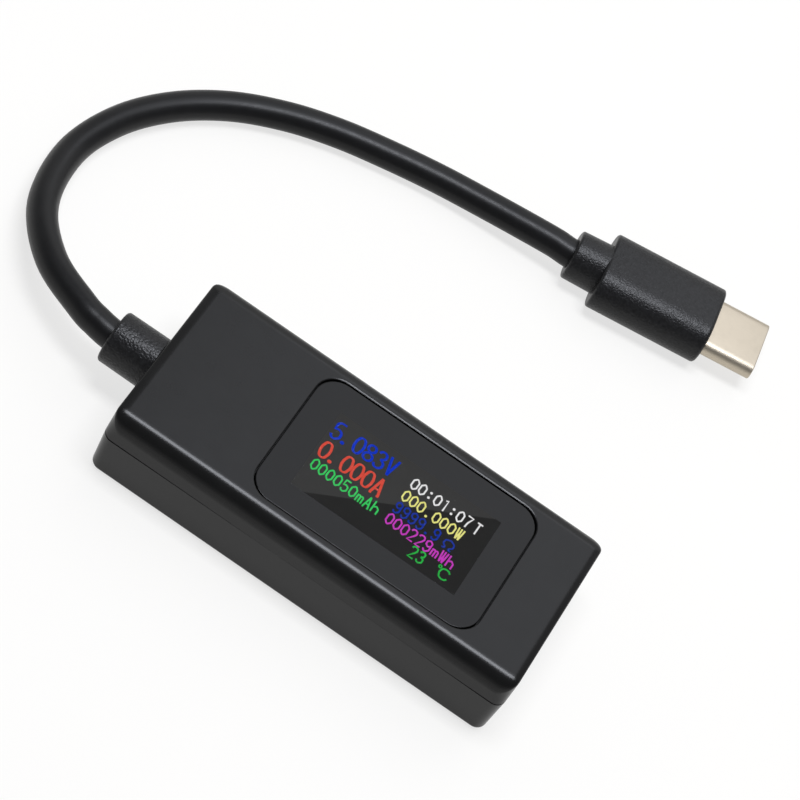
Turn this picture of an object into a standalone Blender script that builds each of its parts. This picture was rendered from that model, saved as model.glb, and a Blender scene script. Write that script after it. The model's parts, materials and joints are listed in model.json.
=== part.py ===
"""USB power meter: a small inline meter with a display, a captive cable and a USB-C plug.

Sizes are in metres. The origin is the middle of the housing's underside. +X runs from the cable end
to the socket end, +Y is the side with the key, and +Z is up.
"""

import math

import bmesh
import bpy
from mathutils import Matrix, Vector
from mathutils.geometry import interpolate_bezier

MM = 0.001

# Clearances
FIT = 0.3 * MM  # where a piece passes through another or lies beside it
SEAT = 0.1 * MM  # where pieces are glued, soldered or pressed together
MARGIN = 1.0 * MM  # how far a cutter runs past the wall that it opens
WELD = 0.001 * MM  # points nearer than this are one point

# Housing
HOUSING_LENGTH = 52.8 * MM
HOUSING_WIDTH = 24.0 * MM
HOUSING_HEIGHT = 10.9 * MM
PARTING_DEPTH = 4.1 * MM  # from the top of the housing
PARTING_GAP = 0.15 * MM
DRAFT = math.radians(1.0)
LONG_EDGE_RADIUS = 2.3 * MM
END_EDGE_RADIUS = 1.3 * MM
CORNER_RADIUS = 1.3 * MM
BASE_EDGE_RADIUS = 0.6 * MM
WALL = 1.3 * MM
FLOOR = 1.3 * MM
CEILING = 1.3 * MM
CAVITY_CORNER_RADIUS = 0.8 * MM
LIP_HEIGHT = 0.8 * MM
LIP_THICKNESS = 0.5 * MM
POST_RADIUS = 1.1 * MM
POST_INSET = 2.2 * MM
AXIS_DEPTH = 4.7 * MM  # from the top to the axis that the cable, the socket and the key share

# Window and display
WINDOW_LENGTH = 29.1 * MM
WINDOW_THICKNESS = 0.9 * MM
WINDOW_CORNER_RADIUS = 2.5 * MM
WINDOW_SINK = 0.05 * MM
WINDOW_END_MARGIN = 7.45 * MM  # from the window to the socket end
WINDOW_SIDE_MARGIN = 2.75 * MM  # from the window to each long side
LEDGE_THICKNESS = 0.8 * MM
LEDGE_RIM = 0.8 * MM
ADHESIVE_THICKNESS = 0.15 * MM
ADHESIVE_INSET = 0.4 * MM
BORDER_LENGTH = 2.45 * MM  # the window's dark border past the glass, at each end
BORDER_WIDTH = 2.7 * MM  # and along each side
GLASS_THICKNESS = 1.0 * MM
GLASS_CORNER_RADIUS = 0.4 * MM
BACKLIGHT_RIM = 0.4 * MM
BACKLIGHT_THICKNESS = 1.0 * MM
DRIVER_LENGTH = 2.8 * MM  # the backlight's tail under the display driver
FLEX_WIDTH = 8.0 * MM
FLEX_THICKNESS = 0.12 * MM
FLEX_LEAD = 0.5 * MM
FLEX_FOOT = 1.8 * MM
FLEX_BEND_STEPS = 12
FOAM_LENGTH = 3.0 * MM
FOAM_WIDTH = 10.0 * MM
FOAM_INSET = 1.5 * MM

# Circuit board and what is soldered to it: name, finish, size, and place. The place is a length from the
# middle of the window, and a share of half the board's width.
BOARD_THICKNESS = 1.0 * MM
BOARD_CORNER_RADIUS = 1.0 * MM
CHIP_EDGE = 0.1 * MM
CHIPS = (
    ("microcontroller", "chip_epoxy", (7.0, 7.0, 1.4), (-0.9, 0.0)),
    ("current_sense_amplifier", "chip_epoxy", (3.0, 3.0, 1.1), (5.6, 0.43)),
    ("voltage_regulator", "chip_epoxy", (4.5, 2.5, 1.5), (-7.9, 0.69)),
    ("memory_chip", "chip_epoxy", (4.9, 3.9, 1.5), (-7.4, -0.63)),
    ("shunt_resistor", "resistor_ceramic", (6.4, 3.2, 0.8), (4.1, -0.66)),
    ("crystal", "tinned_metal", (3.2, 2.5, 0.8), (-7.4, 0.14)),
    ("protection_diode", "chip_epoxy", (4.3, 2.6, 2.1), (15.0, -0.7)),
    ("capacitor_1", "capacitor_ceramic", (3.2, 1.6, 1.6), (-0.9, 0.71)),
    ("capacitor_2", "capacitor_ceramic", (3.2, 1.6, 1.6), (9.6, -0.75)),
    ("capacitor_3", "capacitor_ceramic", (3.2, 1.6, 1.6), (15.0, 0.73)),
)

# USB-C socket
SOCKET_WIDTH = 8.94 * MM
SOCKET_HEIGHT = 3.26 * MM
SOCKET_LENGTH = 7.35 * MM
SOCKET_WALL = 0.3 * MM
SOCKET_SINK = 0.2 * MM
SOCKET_BASE = 1.6 * MM
TONGUE_WIDTH = 6.69 * MM
TONGUE_THICKNESS = 0.7 * MM
TONGUE_LENGTH = 4.45 * MM

# Function key and its switch
KEY_INSET = 10.7 * MM  # from the cable end to the middle of the key
KEY_LENGTH = 6.0 * MM
KEY_HEIGHT = 2.2 * MM
KEY_PROUD = 0.4 * MM
KEY_EDGE = 0.25 * MM
KEY_CLEARANCE = 0.2 * MM
KEY_FLANGE_STEP = 0.7 * MM
KEY_FLANGE_RISE = 0.4 * MM
KEY_FLANGE_THICKNESS = 0.8 * MM
KEY_STOP_GAP = 0.15 * MM
SWITCH_LENGTH = 6.0 * MM
SWITCH_DEPTH = 3.5 * MM
SWITCH_REACH = 0.65 * MM
PLUNGER_LENGTH = 2.8 * MM
PLUNGER_HEIGHT = 1.5 * MM
PLUNGER_HIDDEN = 1.1 * MM
KEY_TRAVEL = 0.3 * MM

# Strain relief and cable
RELIEF_RADIUS = 3.25 * MM
RELIEF_END_RADIUS = 3.22 * MM
RELIEF_LENGTH = 5.8 * MM
RELIEF_EDGE = 0.5 * MM
NECK_RADIUS = 2.5 * MM
FLANGE_STEP = 0.5 * MM
FLANGE_THICKNESS = 1.2 * MM
CORD_RADIUS = 1.85 * MM
CORD_LIFT = 0.05 * MM  # under the cable where it lies
TAIL_LENGTH = 2.1 * MM
# The cable's route: place along X from the housing's cable end, place along Y, and how far it has risen
# from the surface towards the axis of the housing and towards the axis of the plug
CORD_ROUTE = (
    (-8.0, 0.3, 1.0, 0.0),
    (-10.6, 1.1, 0.965, 0.0),
    (-16.8, 4.6, 0.744, 0.0),
    (-21.8, 11.4, 0.349, 0.0),
    (-23.45, 20.4, 0.035, 0.0),
    (-21.7, 28.0, 0.0, 0.0),
    (-17.9, 34.3, 0.0, 0.0),
    (-12.7, 39.35, 0.0, 0.0),
    (-6.7, 43.0, 0.0, 0.0),
    (-0.4, 45.5, 0.0, 0.0),
    (6.2, 47.2, 0.0, 0.0),
    (12.9, 48.5, 0.0, 0.037),
    (19.7, 49.1, 0.0, 0.37),
    (25.4, 49.35, 0.0, 0.778),
    (28.8, 49.5, 0.0, 0.963),
)

# Cores inside the housing: name, radius, angle round the cable, and where its pad is, as a share of half
# the board's width
CORE_RING = 1.05 * MM
CORE_LEAD = 0.7 * MM  # from the jacket to the board
CORE_PAD_INSET = 1.9 * MM  # from the board's edge to the end of each core
CORES = (
    ("ground_wire", 0.45, 162.0, -0.46),
    ("data_minus_wire", 0.35, 234.0, -0.23),
    ("cc_wire", 0.35, 90.0, 0.0),
    ("data_plus_wire", 0.35, 306.0, 0.23),
    ("bus_wire", 0.45, 18.0, 0.46),
)

# Plug, built along its own +X from the front face of the grip
PLUG_X = 23.6 * MM
PLUG_Y = 52.33 * MM
PLUG_TURN = math.radians(8.5)
GRIP_LENGTH = 14.9 * MM
GRIP_WIDTH = 10.55 * MM
GRIP_THICKNESS = 6.5 * MM
GRIP_EDGE = 0.7 * MM
COLLAR_LENGTH = 4.1 * MM
COLLAR_RADIUS = 3.22 * MM
COLLAR_END_RADIUS = 3.14 * MM
COLLAR_EDGE = 0.5 * MM
PLUG_WIDTH = 8.25 * MM
PLUG_THICKNESS = 2.4 * MM
PLUG_LENGTH = 6.7 * MM
PLUG_WALL = 0.25 * MM
PLUG_HIDDEN = 4.0 * MM
MOUTH_HEIGHT = 0.75 * MM
WAFER_SIDE = 0.9 * MM  # from each wafer's edge to the outside of the shell
WAFER_SINK = 0.4 * MM
WAFER_STEP = 0.5 * MM  # how far the wafers stop short of the shell's hidden end
LATCH_THICKNESS = 0.25 * MM
LATCH_HEIGHT = 0.5 * MM
LATCH_SINK = 1.2 * MM
PLUG_BOARD_LENGTH = 3.5 * MM
PLUG_BOARD_SIDE = 0.25 * MM
PLUG_BOARD_THICKNESS = 0.6 * MM
PLUG_RESISTOR = (1.6 * MM, 0.8 * MM, 0.45 * MM)

# Finishes: colour, roughness, metallic
FINISHES = {
    "housing_plastic": ((0.010, 0.010, 0.011), 0.30, 0.0),
    "grip_plastic": ((0.012, 0.012, 0.013), 0.55, 0.0),
    "cable_jacket": ((0.010, 0.010, 0.011), 0.40, 0.0),
    "window_acrylic": ((0.020, 0.020, 0.022), 0.08, 0.0),
    "panel_glass": ((0.012, 0.012, 0.014), 0.10, 0.0),
    "key_plastic": ((0.014, 0.014, 0.015), 0.40, 0.0),
    "nickel": ((0.72, 0.66, 0.57), 0.25, 1.0),
    "tinned_metal": ((0.62, 0.62, 0.60), 0.30, 1.0),
    "tape": ((0.020, 0.020, 0.020), 0.70, 0.0),
    "backlight_white": ((0.75, 0.75, 0.74), 0.50, 0.0),
    "flex_polyimide": ((0.45, 0.20, 0.03), 0.40, 0.0),
    "foam": ((0.05, 0.05, 0.05), 0.90, 0.0),
    "board_laminate": ((0.02, 0.12, 0.05), 0.45, 0.0),
    "chip_epoxy": ((0.020, 0.020, 0.020), 0.60, 0.0),
    "resistor_ceramic": ((0.70, 0.68, 0.64), 0.50, 0.0),
    "capacitor_ceramic": ((0.35, 0.24, 0.14), 0.50, 0.0),
    "contact_plastic": ((0.015, 0.015, 0.016), 0.45, 0.0),
    "core_red": ((0.45, 0.02, 0.02), 0.45, 0.0),
    "core_black": ((0.015, 0.015, 0.015), 0.45, 0.0),
    "core_green": ((0.02, 0.30, 0.06), 0.45, 0.0),
    "core_white": ((0.75, 0.75, 0.73), 0.45, 0.0),
    "core_blue": ((0.03, 0.10, 0.45), 0.45, 0.0),
}
CORE_FINISHES = {
    "bus_wire": "core_red",
    "ground_wire": "core_black",
    "data_plus_wire": "core_green",
    "data_minus_wire": "core_white",
    "cc_wire": "core_blue",
}

# Places that follow from the sizes above
END_X = HOUSING_LENGTH / 2
SIDE_Y = HOUSING_WIDTH / 2
PARTING_HEIGHT = HOUSING_HEIGHT - PARTING_DEPTH
AXIS_HEIGHT = HOUSING_HEIGHT - AXIS_DEPTH
INNER_WIDTH = HOUSING_WIDTH - 2 * WALL
WINDOW_WIDTH = HOUSING_WIDTH - 2 * WINDOW_SIDE_MARGIN
WINDOW_X = END_X - WINDOW_END_MARGIN - WINDOW_LENGTH / 2
WINDOW_TOP = HOUSING_HEIGHT - WINDOW_SINK
WINDOW_BOTTOM = WINDOW_TOP - WINDOW_THICKNESS
ADHESIVE_TOP = WINDOW_BOTTOM - SEAT
LEDGE_TOP = ADHESIVE_TOP - ADHESIVE_THICKNESS - SEAT
LEDGE_BOTTOM = LEDGE_TOP - LEDGE_THICKNESS
GLASS_LENGTH = WINDOW_LENGTH - 2 * BORDER_LENGTH
GLASS_WIDTH = WINDOW_WIDTH - 2 * BORDER_WIDTH
GLASS_TOP = WINDOW_BOTTOM - 2 * SEAT
BACKLIGHT_LENGTH = GLASS_LENGTH + BACKLIGHT_RIM + DRIVER_LENGTH
BACKLIGHT_WIDTH = GLASS_WIDTH + 2 * BACKLIGHT_RIM
BACKLIGHT_X = WINDOW_X + (BACKLIGHT_RIM - DRIVER_LENGTH) / 2
BACKLIGHT_TOP = min(LEDGE_BOTTOM, GLASS_TOP - GLASS_THICKNESS) - SEAT
BACKLIGHT_BOTTOM = BACKLIGHT_TOP - BACKLIGHT_THICKNESS
RECESS_LENGTH = WINDOW_LENGTH + 2 * FIT
RECESS_WIDTH = WINDOW_WIDTH + 2 * FIT
CORD_HEIGHT = CORD_RADIUS + CORD_LIFT
FLANGE_RADIUS = NECK_RADIUS + FLANGE_STEP
FLANGE_X = -END_X + WALL + SEAT + FLANGE_THICKNESS
TAIL_START_X = FLANGE_X + SEAT
TAIL_END_X = TAIL_START_X + TAIL_LENGTH
BOARD_START_X = TAIL_END_X + CORE_LEAD
BOARD_END_X = END_X - WALL - FIT
BOARD_LENGTH = BOARD_END_X - BOARD_START_X
BOARD_WIDTH = INNER_WIDTH - 2 * FIT
BOARD_X = (BOARD_START_X + BOARD_END_X) / 2
BOARD_TOP = AXIS_HEIGHT - SOCKET_HEIGHT / 2 - SEAT
BOARD_BOTTOM = BOARD_TOP - BOARD_THICKNESS
KEY_X = -END_X + KEY_INSET
KEY_FLANGE_LENGTH = KEY_LENGTH + 2 * KEY_FLANGE_STEP
KEY_FLANGE_HEIGHT = KEY_HEIGHT + 2 * KEY_FLANGE_RISE
FLANGE_OUTER_Y = SIDE_Y - WALL - KEY_STOP_GAP
FLANGE_INNER_Y = FLANGE_OUTER_Y - KEY_FLANGE_THICKNESS
PLUNGER_TIP_Y = FLANGE_INNER_Y - SEAT
SWITCH_FRONT_Y = PLUNGER_TIP_Y - SWITCH_REACH
GRIP_HEIGHT = max(GRIP_THICKNESS / 2, COLLAR_RADIUS)
GRIP_POCKET = PLUG_HIDDEN + SEAT + PLUG_BOARD_LENGTH + FIT
WAFER_WIDTH = PLUG_WIDTH - 2 * WAFER_SIDE
WAFER_HIDDEN = PLUG_HIDDEN - WAFER_STEP
PLUG_BOARD_WIDTH = PLUG_WIDTH - 2 * PLUG_BOARD_SIDE

SHARP_ANGLE = math.radians(50.0)  # edges that turn more than this are corners

# Turns that lay an outline drawn in XY, with its depth along Z, across the object
ALONG_X = Matrix(((0, 0, 1, 0), (1, 0, 0, 0), (0, 1, 0, 0), (0, 0, 0, 1)))
ALONG_Y = Matrix(((1, 0, 0, 0), (0, 0, -1, 0), (0, 1, 0, 0), (0, 0, 0, 1)))
ALONG_Z = Matrix.Identity(4)


def clear_scene():
    for obj in list(bpy.data.objects):
        bpy.data.objects.remove(obj, do_unlink=True)


def make_collection(name):
    collection = bpy.data.collections.new(name)
    bpy.context.scene.collection.children.link(collection)
    return collection


def make_material(name):
    colour, roughness, metallic = FINISHES[name]
    material = bpy.data.materials.new(name)
    material.use_nodes = True
    shader = material.node_tree.nodes["Principled BSDF"]
    shader.inputs["Base Color"].default_value = (*colour, 1.0)
    shader.inputs["Roughness"].default_value = roughness
    shader.inputs["Metallic"].default_value = metallic
    return material


clear_scene()
PARTS = make_collection("usb_power_meter")
CUTTERS = make_collection("cutters")
MATERIALS = {name: make_material(name) for name in FINISHES}


def add_part(name, data, finish, location=(0.0, 0.0, 0.0), parent=None):
    """One sub-part of the meter, with its finish."""
    obj = bpy.data.objects.new(name, data)
    obj.location = location
    obj.parent = parent
    PARTS.objects.link(obj)
    data.materials.append(MATERIALS[finish])
    return obj


def add_cutter(name, data, location=(0.0, 0.0, 0.0), parent=None):
    """A helper solid that is cut from or joined to a sub-part."""
    obj = bpy.data.objects.new(name, data)
    obj.location = location
    obj.parent = parent
    CUTTERS.objects.link(obj)
    obj.hide_render = True
    obj.display_type = "WIRE"
    return obj


def combine(obj, other, operation):
    modifier = obj.modifiers.new(other.name, "BOOLEAN")
    modifier.operation = operation
    modifier.solver = "EXACT"
    modifier.object = other


def cut(obj, *cutters):
    for cutter in cutters:
        combine(obj, cutter, "DIFFERENCE")


def join(obj, *others):
    for other in others:
        combine(obj, other, "UNION")


def round_edges(obj, radius, segments=2):
    modifier = obj.modifiers.new("round_edges", "BEVEL")
    modifier.width = radius
    modifier.segments = segments
    modifier.limit_method = "ANGLE"
    modifier.angle_limit = SHARP_ANGLE


def finish_mesh(bm, name):
    """Welds a bmesh, turns its faces out and stores it, smooth but for its sharp edges."""
    bmesh.ops.remove_doubles(bm, verts=bm.verts, dist=WELD)
    bmesh.ops.recalc_face_normals(bm, faces=bm.faces)
    mesh = bpy.data.meshes.new(name)
    bm.to_mesh(mesh)
    bm.free()
    mesh.shade_smooth()
    mesh.set_sharp_from_angle(angle=SHARP_ANGLE)
    return mesh


def box_mesh(name, size):
    bm = bmesh.new()
    bmesh.ops.create_cube(bm, size=1.0, matrix=Matrix.Diagonal((*size, 1.0)))
    return finish_mesh(bm, name)


def cylinder_mesh(name, radius, depth, turn=ALONG_Z, segments=32):
    bm = bmesh.new()
    bmesh.ops.create_cone(
        bm, cap_ends=True, segments=segments, radius1=radius, radius2=radius, depth=depth, matrix=turn
    )
    return finish_mesh(bm, name)


def rounded_rectangle(length, width, radius, steps=6):
    """Corner points of a rectangle with round corners. A radius of half the width gives round ends."""
    points = []
    for side_x, side_y, start in ((1, 1, 0), (-1, 1, 90), (-1, -1, 180), (1, -1, 270)):
        centre_x = side_x * (length / 2 - radius)
        centre_y = side_y * (width / 2 - radius)
        for step in range(steps + 1):
            angle = math.radians(start + 90 * step / steps)
            point = Vector((centre_x + radius * math.cos(angle), centre_y + radius * math.sin(angle)))
            if all((point - other).length > WELD for other in points[:1] + points[-1:]):
                points.append(point)
    return points


def outline_mesh(name, points, depth, turn=ALONG_Z):
    """A flat outline with a thickness, centred on its own plane, then laid along an axis."""
    curve = bpy.data.curves.new(name, "CURVE")
    curve.dimensions = "2D"
    curve.fill_mode = "BOTH"
    curve.extrude = depth / 2
    spline = curve.splines.new("POLY")
    spline.points.add(len(points) - 1)
    spline.use_cyclic_u = True
    for point, place in zip(spline.points, points):
        point.co = (place[0], place[1], 0.0, 1.0)
    helper = bpy.data.objects.new(name, curve)
    CUTTERS.objects.link(helper)
    graph = bpy.context.evaluated_depsgraph_get()
    mesh = bpy.data.meshes.new_from_object(helper.evaluated_get(graph))
    bpy.data.objects.remove(helper)
    bpy.data.curves.remove(curve)
    bm = bmesh.new()
    bm.from_mesh(mesh)
    bpy.data.meshes.remove(mesh)
    bmesh.ops.transform(bm, matrix=turn, verts=bm.verts)
    return finish_mesh(bm, name)


def plate_mesh(name, length, width, thickness, radius, turn=ALONG_Z, steps=6):
    return outline_mesh(name, rounded_rectangle(length, width, radius, steps), thickness, turn)


def oblong_mesh(name, width, height, depth, turn):
    """A bar with full round ends across its width."""
    return plate_mesh(name, width, height, depth, height / 2, turn, steps=5)


def turned(obj, steps=28):
    """Turns an edge profile about the object's own Z axis."""
    modifier = obj.modifiers.new("turn", "SCREW")
    modifier.steps = steps
    modifier.render_steps = steps
    modifier.use_merge_vertices = True
    modifier.merge_threshold = WELD


def profile_mesh(name, points):
    """Edges through (radius, height) points, from the top of the turned shape down its outside."""
    bm = bmesh.new()
    verts = [bm.verts.new((radius, 0.0, height)) for radius, height in points]
    for first, second in zip(verts, verts[1:]):
        bm.edges.new((first, second))
    mesh = bpy.data.meshes.new(name)
    bm.to_mesh(mesh)
    bm.free()
    return mesh


def rounded_corner(radius, height, edge, steps=4):
    """Profile points of a round edge at the top of a turned shape."""
    points = []
    for step in range(steps + 1):
        angle = math.pi / 2 * (1 - step / steps)
        points.append((radius - edge + edge * math.cos(angle), height - edge + edge * math.sin(angle)))
    return points


def smooth_path(points, steps):
    """Points on a smooth curve through all the given points."""
    points = [Vector(point) for point in points]
    path = []
    for index in range(len(points) - 1):
        start = points[index]
        end = points[index + 1]
        before = points[max(index - 1, 0)]
        after = points[min(index + 2, len(points) - 1)]
        lead = start + (end - before) / 6
        trail = end - (after - start) / 6
        path += interpolate_bezier(start, lead, trail, end, steps + 1)[:-1]
    path.append(points[-1])
    return path


def tube_curve(name, path, radius):
    """A round tube with closed ends along a path."""
    curve = bpy.data.curves.new(name, "CURVE")
    curve.dimensions = "3D"
    curve.bevel_depth = radius
    curve.bevel_resolution = 2
    curve.use_fill_caps = True
    spline = curve.splines.new("POLY")
    spline.points.add(len(path) - 1)
    for point, place in zip(spline.points, path):
        point.co = (*place, 1.0)
    return curve


def drafted_block(name, finish, wide_height, narrow_height, edge_radii, segments):
    """A half of the housing as a full block: wide at the parting line, with rounded outer edges.

    edge_radii holds the radius of the long, end and upright edges.
    """
    inset = abs(narrow_height - wide_height) * math.tan(DRAFT)
    long_radius, end_radius, upright_radius = edge_radii
    largest = max(edge_radii)
    bm = bmesh.new()
    bmesh.ops.create_cube(bm, size=2.0)
    narrow = {}
    for vert in bm.verts:
        narrow[vert] = (vert.co.z > 0) == (narrow_height > wide_height)
        step = inset if narrow[vert] else 0.0
        vert.co.x *= END_X - step
        vert.co.y *= SIDE_Y - step
        vert.co.z = narrow_height if narrow[vert] else wide_height
    weights = bm.edges.layers.float.new("bevel_weight_edge")
    for edge in bm.edges:
        first, second = edge.verts
        span = second.co - first.co
        if narrow[first] != narrow[second]:
            edge[weights] = upright_radius / largest
        elif narrow[first]:
            edge[weights] = (long_radius if abs(span.x) > abs(span.y) else end_radius) / largest
    obj = add_part(name, finish_mesh(bm, name), finish)
    modifier = obj.modifiers.new("round_edges", "BEVEL")
    modifier.width = largest
    modifier.segments = segments
    modifier.limit_method = "WEIGHT"
    return obj


def cavity_cutter(name, low, high, inset):
    """A cutter as large as the housing less an inset all round."""
    mesh = plate_mesh(
        name, HOUSING_LENGTH - 2 * inset, HOUSING_WIDTH - 2 * inset, high - low, CAVITY_CORNER_RADIUS
    )
    return add_cutter(name, mesh, (0.0, 0.0, (low + high) / 2))


def wall_cutters():
    """The openings that both halves of the housing share: cable, socket and key."""
    depth = WALL + 2 * MARGIN
    relief = add_cutter(
        "relief_hole",
        cylinder_mesh("relief_hole", NECK_RADIUS + FIT, depth, ALONG_X),
        (-END_X + WALL / 2, 0.0, AXIS_HEIGHT),
    )
    socket = add_cutter(
        "socket_hole",
        oblong_mesh("socket_hole", SOCKET_WIDTH + 2 * FIT, SOCKET_HEIGHT + 2 * FIT, depth, ALONG_X),
        (END_X - WALL / 2, 0.0, AXIS_HEIGHT),
    )
    key = add_cutter(
        "key_hole",
        oblong_mesh(
            "key_hole", KEY_LENGTH + 2 * KEY_CLEARANCE, KEY_HEIGHT + 2 * KEY_CLEARANCE, depth, ALONG_Y
        ),
        (KEY_X, SIDE_Y - WALL / 2, AXIS_HEIGHT),
    )
    return relief, socket, key


def make_upper_shell(openings):
    bottom = PARTING_HEIGHT + PARTING_GAP / 2
    radii = (LONG_EDGE_RADIUS, END_EDGE_RADIUS, CORNER_RADIUS)
    shell = drafted_block("upper_shell", "housing_plastic", bottom, HOUSING_HEIGHT, radii, 6)
    cavity = cavity_cutter("upper_cavity", PARTING_HEIGHT - MARGIN, HOUSING_HEIGHT - CEILING, WALL)
    rabbet_top = PARTING_HEIGHT + LIP_HEIGHT + FIT
    rabbet = cavity_cutter(
        "lip_rabbet", PARTING_HEIGHT - MARGIN, rabbet_top, WALL - LIP_THICKNESS - PARTING_GAP
    )
    ledge_top = HOUSING_HEIGHT - CEILING / 2
    ledge_size = (RECESS_LENGTH + 2 * LEDGE_RIM, INNER_WIDTH + WALL / 2, ledge_top - LEDGE_BOTTOM)
    ledge = add_cutter(
        "window_ledge",
        box_mesh("window_ledge", ledge_size),
        (WINDOW_X, 0.0, (ledge_top + LEDGE_BOTTOM) / 2),
    )
    recess_depth = HOUSING_HEIGHT + MARGIN - LEDGE_TOP
    recess = add_cutter(
        "window_recess",
        plate_mesh("window_recess", RECESS_LENGTH, RECESS_WIDTH, recess_depth, WINDOW_CORNER_RADIUS + FIT),
        (WINDOW_X, 0.0, LEDGE_TOP + recess_depth / 2),
    )
    opening_depth = LEDGE_THICKNESS + 2 * MARGIN
    opening = add_cutter(
        "glass_opening",
        plate_mesh(
            "glass_opening",
            GLASS_LENGTH + 2 * FIT,
            GLASS_WIDTH + 2 * FIT,
            opening_depth,
            GLASS_CORNER_RADIUS,
        ),
        (WINDOW_X, 0.0, LEDGE_TOP - LEDGE_THICKNESS / 2),
    )
    cut(shell, cavity, rabbet)
    join(shell, ledge)
    cut(shell, recess, opening, *openings)


def make_lower_shell(openings):
    top = PARTING_HEIGHT - PARTING_GAP / 2
    radii = (BASE_EDGE_RADIUS, BASE_EDGE_RADIUS, CORNER_RADIUS)
    shell = drafted_block("lower_shell", "housing_plastic", top, 0.0, radii, 4)
    lip = cavity_cutter("locating_lip", top - MARGIN, PARTING_HEIGHT + LIP_HEIGHT, WALL - LIP_THICKNESS)
    cavity = cavity_cutter("lower_cavity", FLOOR, PARTING_HEIGHT + LIP_HEIGHT + MARGIN, WALL)
    join(shell, lip)
    cut(shell, cavity, *openings)
    post_top = BOARD_BOTTOM - FIT
    post_base = FLOOR / 2
    reach_x = BOARD_LENGTH / 2 - POST_INSET
    reach_y = BOARD_WIDTH / 2 - POST_INSET
    corners = ((-1, -1), (1, -1), (1, 1), (-1, 1))
    for number, (side_x, side_y) in enumerate(corners, start=1):
        name = f"board_post_{number}"
        mesh = cylinder_mesh(name, POST_RADIUS, post_top - post_base, segments=16)
        place = (BOARD_X + side_x * reach_x, side_y * reach_y, (post_top + post_base) / 2)
        join(shell, add_cutter(name, mesh, place))


def make_window():
    window = plate_mesh(
        "display_window", WINDOW_LENGTH, WINDOW_WIDTH, WINDOW_THICKNESS, WINDOW_CORNER_RADIUS
    )
    add_part("display_window", window, "window_acrylic", (WINDOW_X, 0.0, WINDOW_TOP - WINDOW_THICKNESS / 2))
    tape = plate_mesh(
        "window_adhesive",
        WINDOW_LENGTH - 2 * ADHESIVE_INSET,
        WINDOW_WIDTH - 2 * ADHESIVE_INSET,
        ADHESIVE_THICKNESS,
        WINDOW_CORNER_RADIUS - ADHESIVE_INSET,
    )
    place = (WINDOW_X, 0.0, ADHESIVE_TOP - ADHESIVE_THICKNESS / 2)
    frame = add_part("window_adhesive", tape, "tape", place)
    hole = plate_mesh(
        "adhesive_opening",
        GLASS_LENGTH + 2 * FIT,
        GLASS_WIDTH + 2 * FIT,
        ADHESIVE_THICKNESS + MARGIN,
        GLASS_CORNER_RADIUS,
    )
    cut(frame, add_cutter("adhesive_opening", hole, place))


def make_display():
    glass = plate_mesh("lcd_glass", GLASS_LENGTH, GLASS_WIDTH, GLASS_THICKNESS, GLASS_CORNER_RADIUS)
    add_part("lcd_glass", glass, "panel_glass", (WINDOW_X, 0.0, GLASS_TOP - GLASS_THICKNESS / 2))
    light = box_mesh("lcd_backlight", (BACKLIGHT_LENGTH, BACKLIGHT_WIDTH, BACKLIGHT_THICKNESS))
    place = (BACKLIGHT_X, 0.0, BACKLIGHT_TOP - BACKLIGHT_THICKNESS / 2)
    round_edges(add_part("lcd_backlight", light, "backlight_white", place), CHIP_EDGE)
    foam_height = BACKLIGHT_BOTTOM - BOARD_TOP - 2 * SEAT
    foam_reach = BACKLIGHT_LENGTH / 2 - FOAM_INSET - FOAM_LENGTH / 2
    for name, side in (("foam_pad_left", -1), ("foam_pad_right", 1)):
        foam = box_mesh(name, (FOAM_LENGTH, FOAM_WIDTH, foam_height))
        place = (BACKLIGHT_X + side * foam_reach, 0.0, BOARD_TOP + SEAT + foam_height / 2)
        round_edges(add_part(name, foam, "foam", place), CHIP_EDGE)


def make_flex():
    """The display's flat lead: out of the panel's cable end, round and down to the board."""
    start_x = BACKLIGHT_X - BACKLIGHT_LENGTH / 2 - SEAT
    top = BACKLIGHT_TOP - BACKLIGHT_THICKNESS / 2
    foot = BOARD_TOP + SEAT + FLEX_THICKNESS / 2
    bend_x = start_x - FLEX_LEAD
    bend_radius = (top - foot) / 2
    path = [(start_x, 0.0, top)]
    for step in range(FLEX_BEND_STEPS + 1):
        angle = math.pi * step / FLEX_BEND_STEPS
        x = bend_x - bend_radius * math.sin(angle)
        z = foot + bend_radius + bend_radius * math.cos(angle)
        path.append((x, 0.0, z))
    path.append((bend_x + FLEX_FOOT, 0.0, foot))
    bm = bmesh.new()
    verts = [bm.verts.new(point) for point in path]
    edges = [bm.edges.new(pair) for pair in zip(verts, verts[1:])]
    bmesh.ops.translate(bm, verts=verts, vec=(0.0, -FLEX_WIDTH / 2, 0.0))
    made = bmesh.ops.extrude_edge_only(bm, edges=edges)["geom"]
    far_side = [item for item in made if isinstance(item, bmesh.types.BMVert)]
    bmesh.ops.translate(bm, verts=far_side, vec=(0.0, FLEX_WIDTH, 0.0))
    flex = add_part("lcd_flex", finish_mesh(bm, "lcd_flex"), "flex_polyimide")
    modifier = flex.modifiers.new("thickness", "SOLIDIFY")
    modifier.thickness = FLEX_THICKNESS
    modifier.offset = 0.0


def make_board():
    board = plate_mesh("main_board", BOARD_LENGTH, BOARD_WIDTH, BOARD_THICKNESS, BOARD_CORNER_RADIUS)
    add_part("main_board", board, "board_laminate", (BOARD_X, 0.0, BOARD_TOP - BOARD_THICKNESS / 2))
    for name, finish, size, place in CHIPS:
        length, width, height = (value * MM for value in size)
        along, across = place
        centre = (WINDOW_X + along * MM, across * BOARD_WIDTH / 2, BOARD_TOP + SEAT + height / 2)
        round_edges(add_part(name, box_mesh(name, (length, width, height)), finish, centre), CHIP_EDGE)


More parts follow.
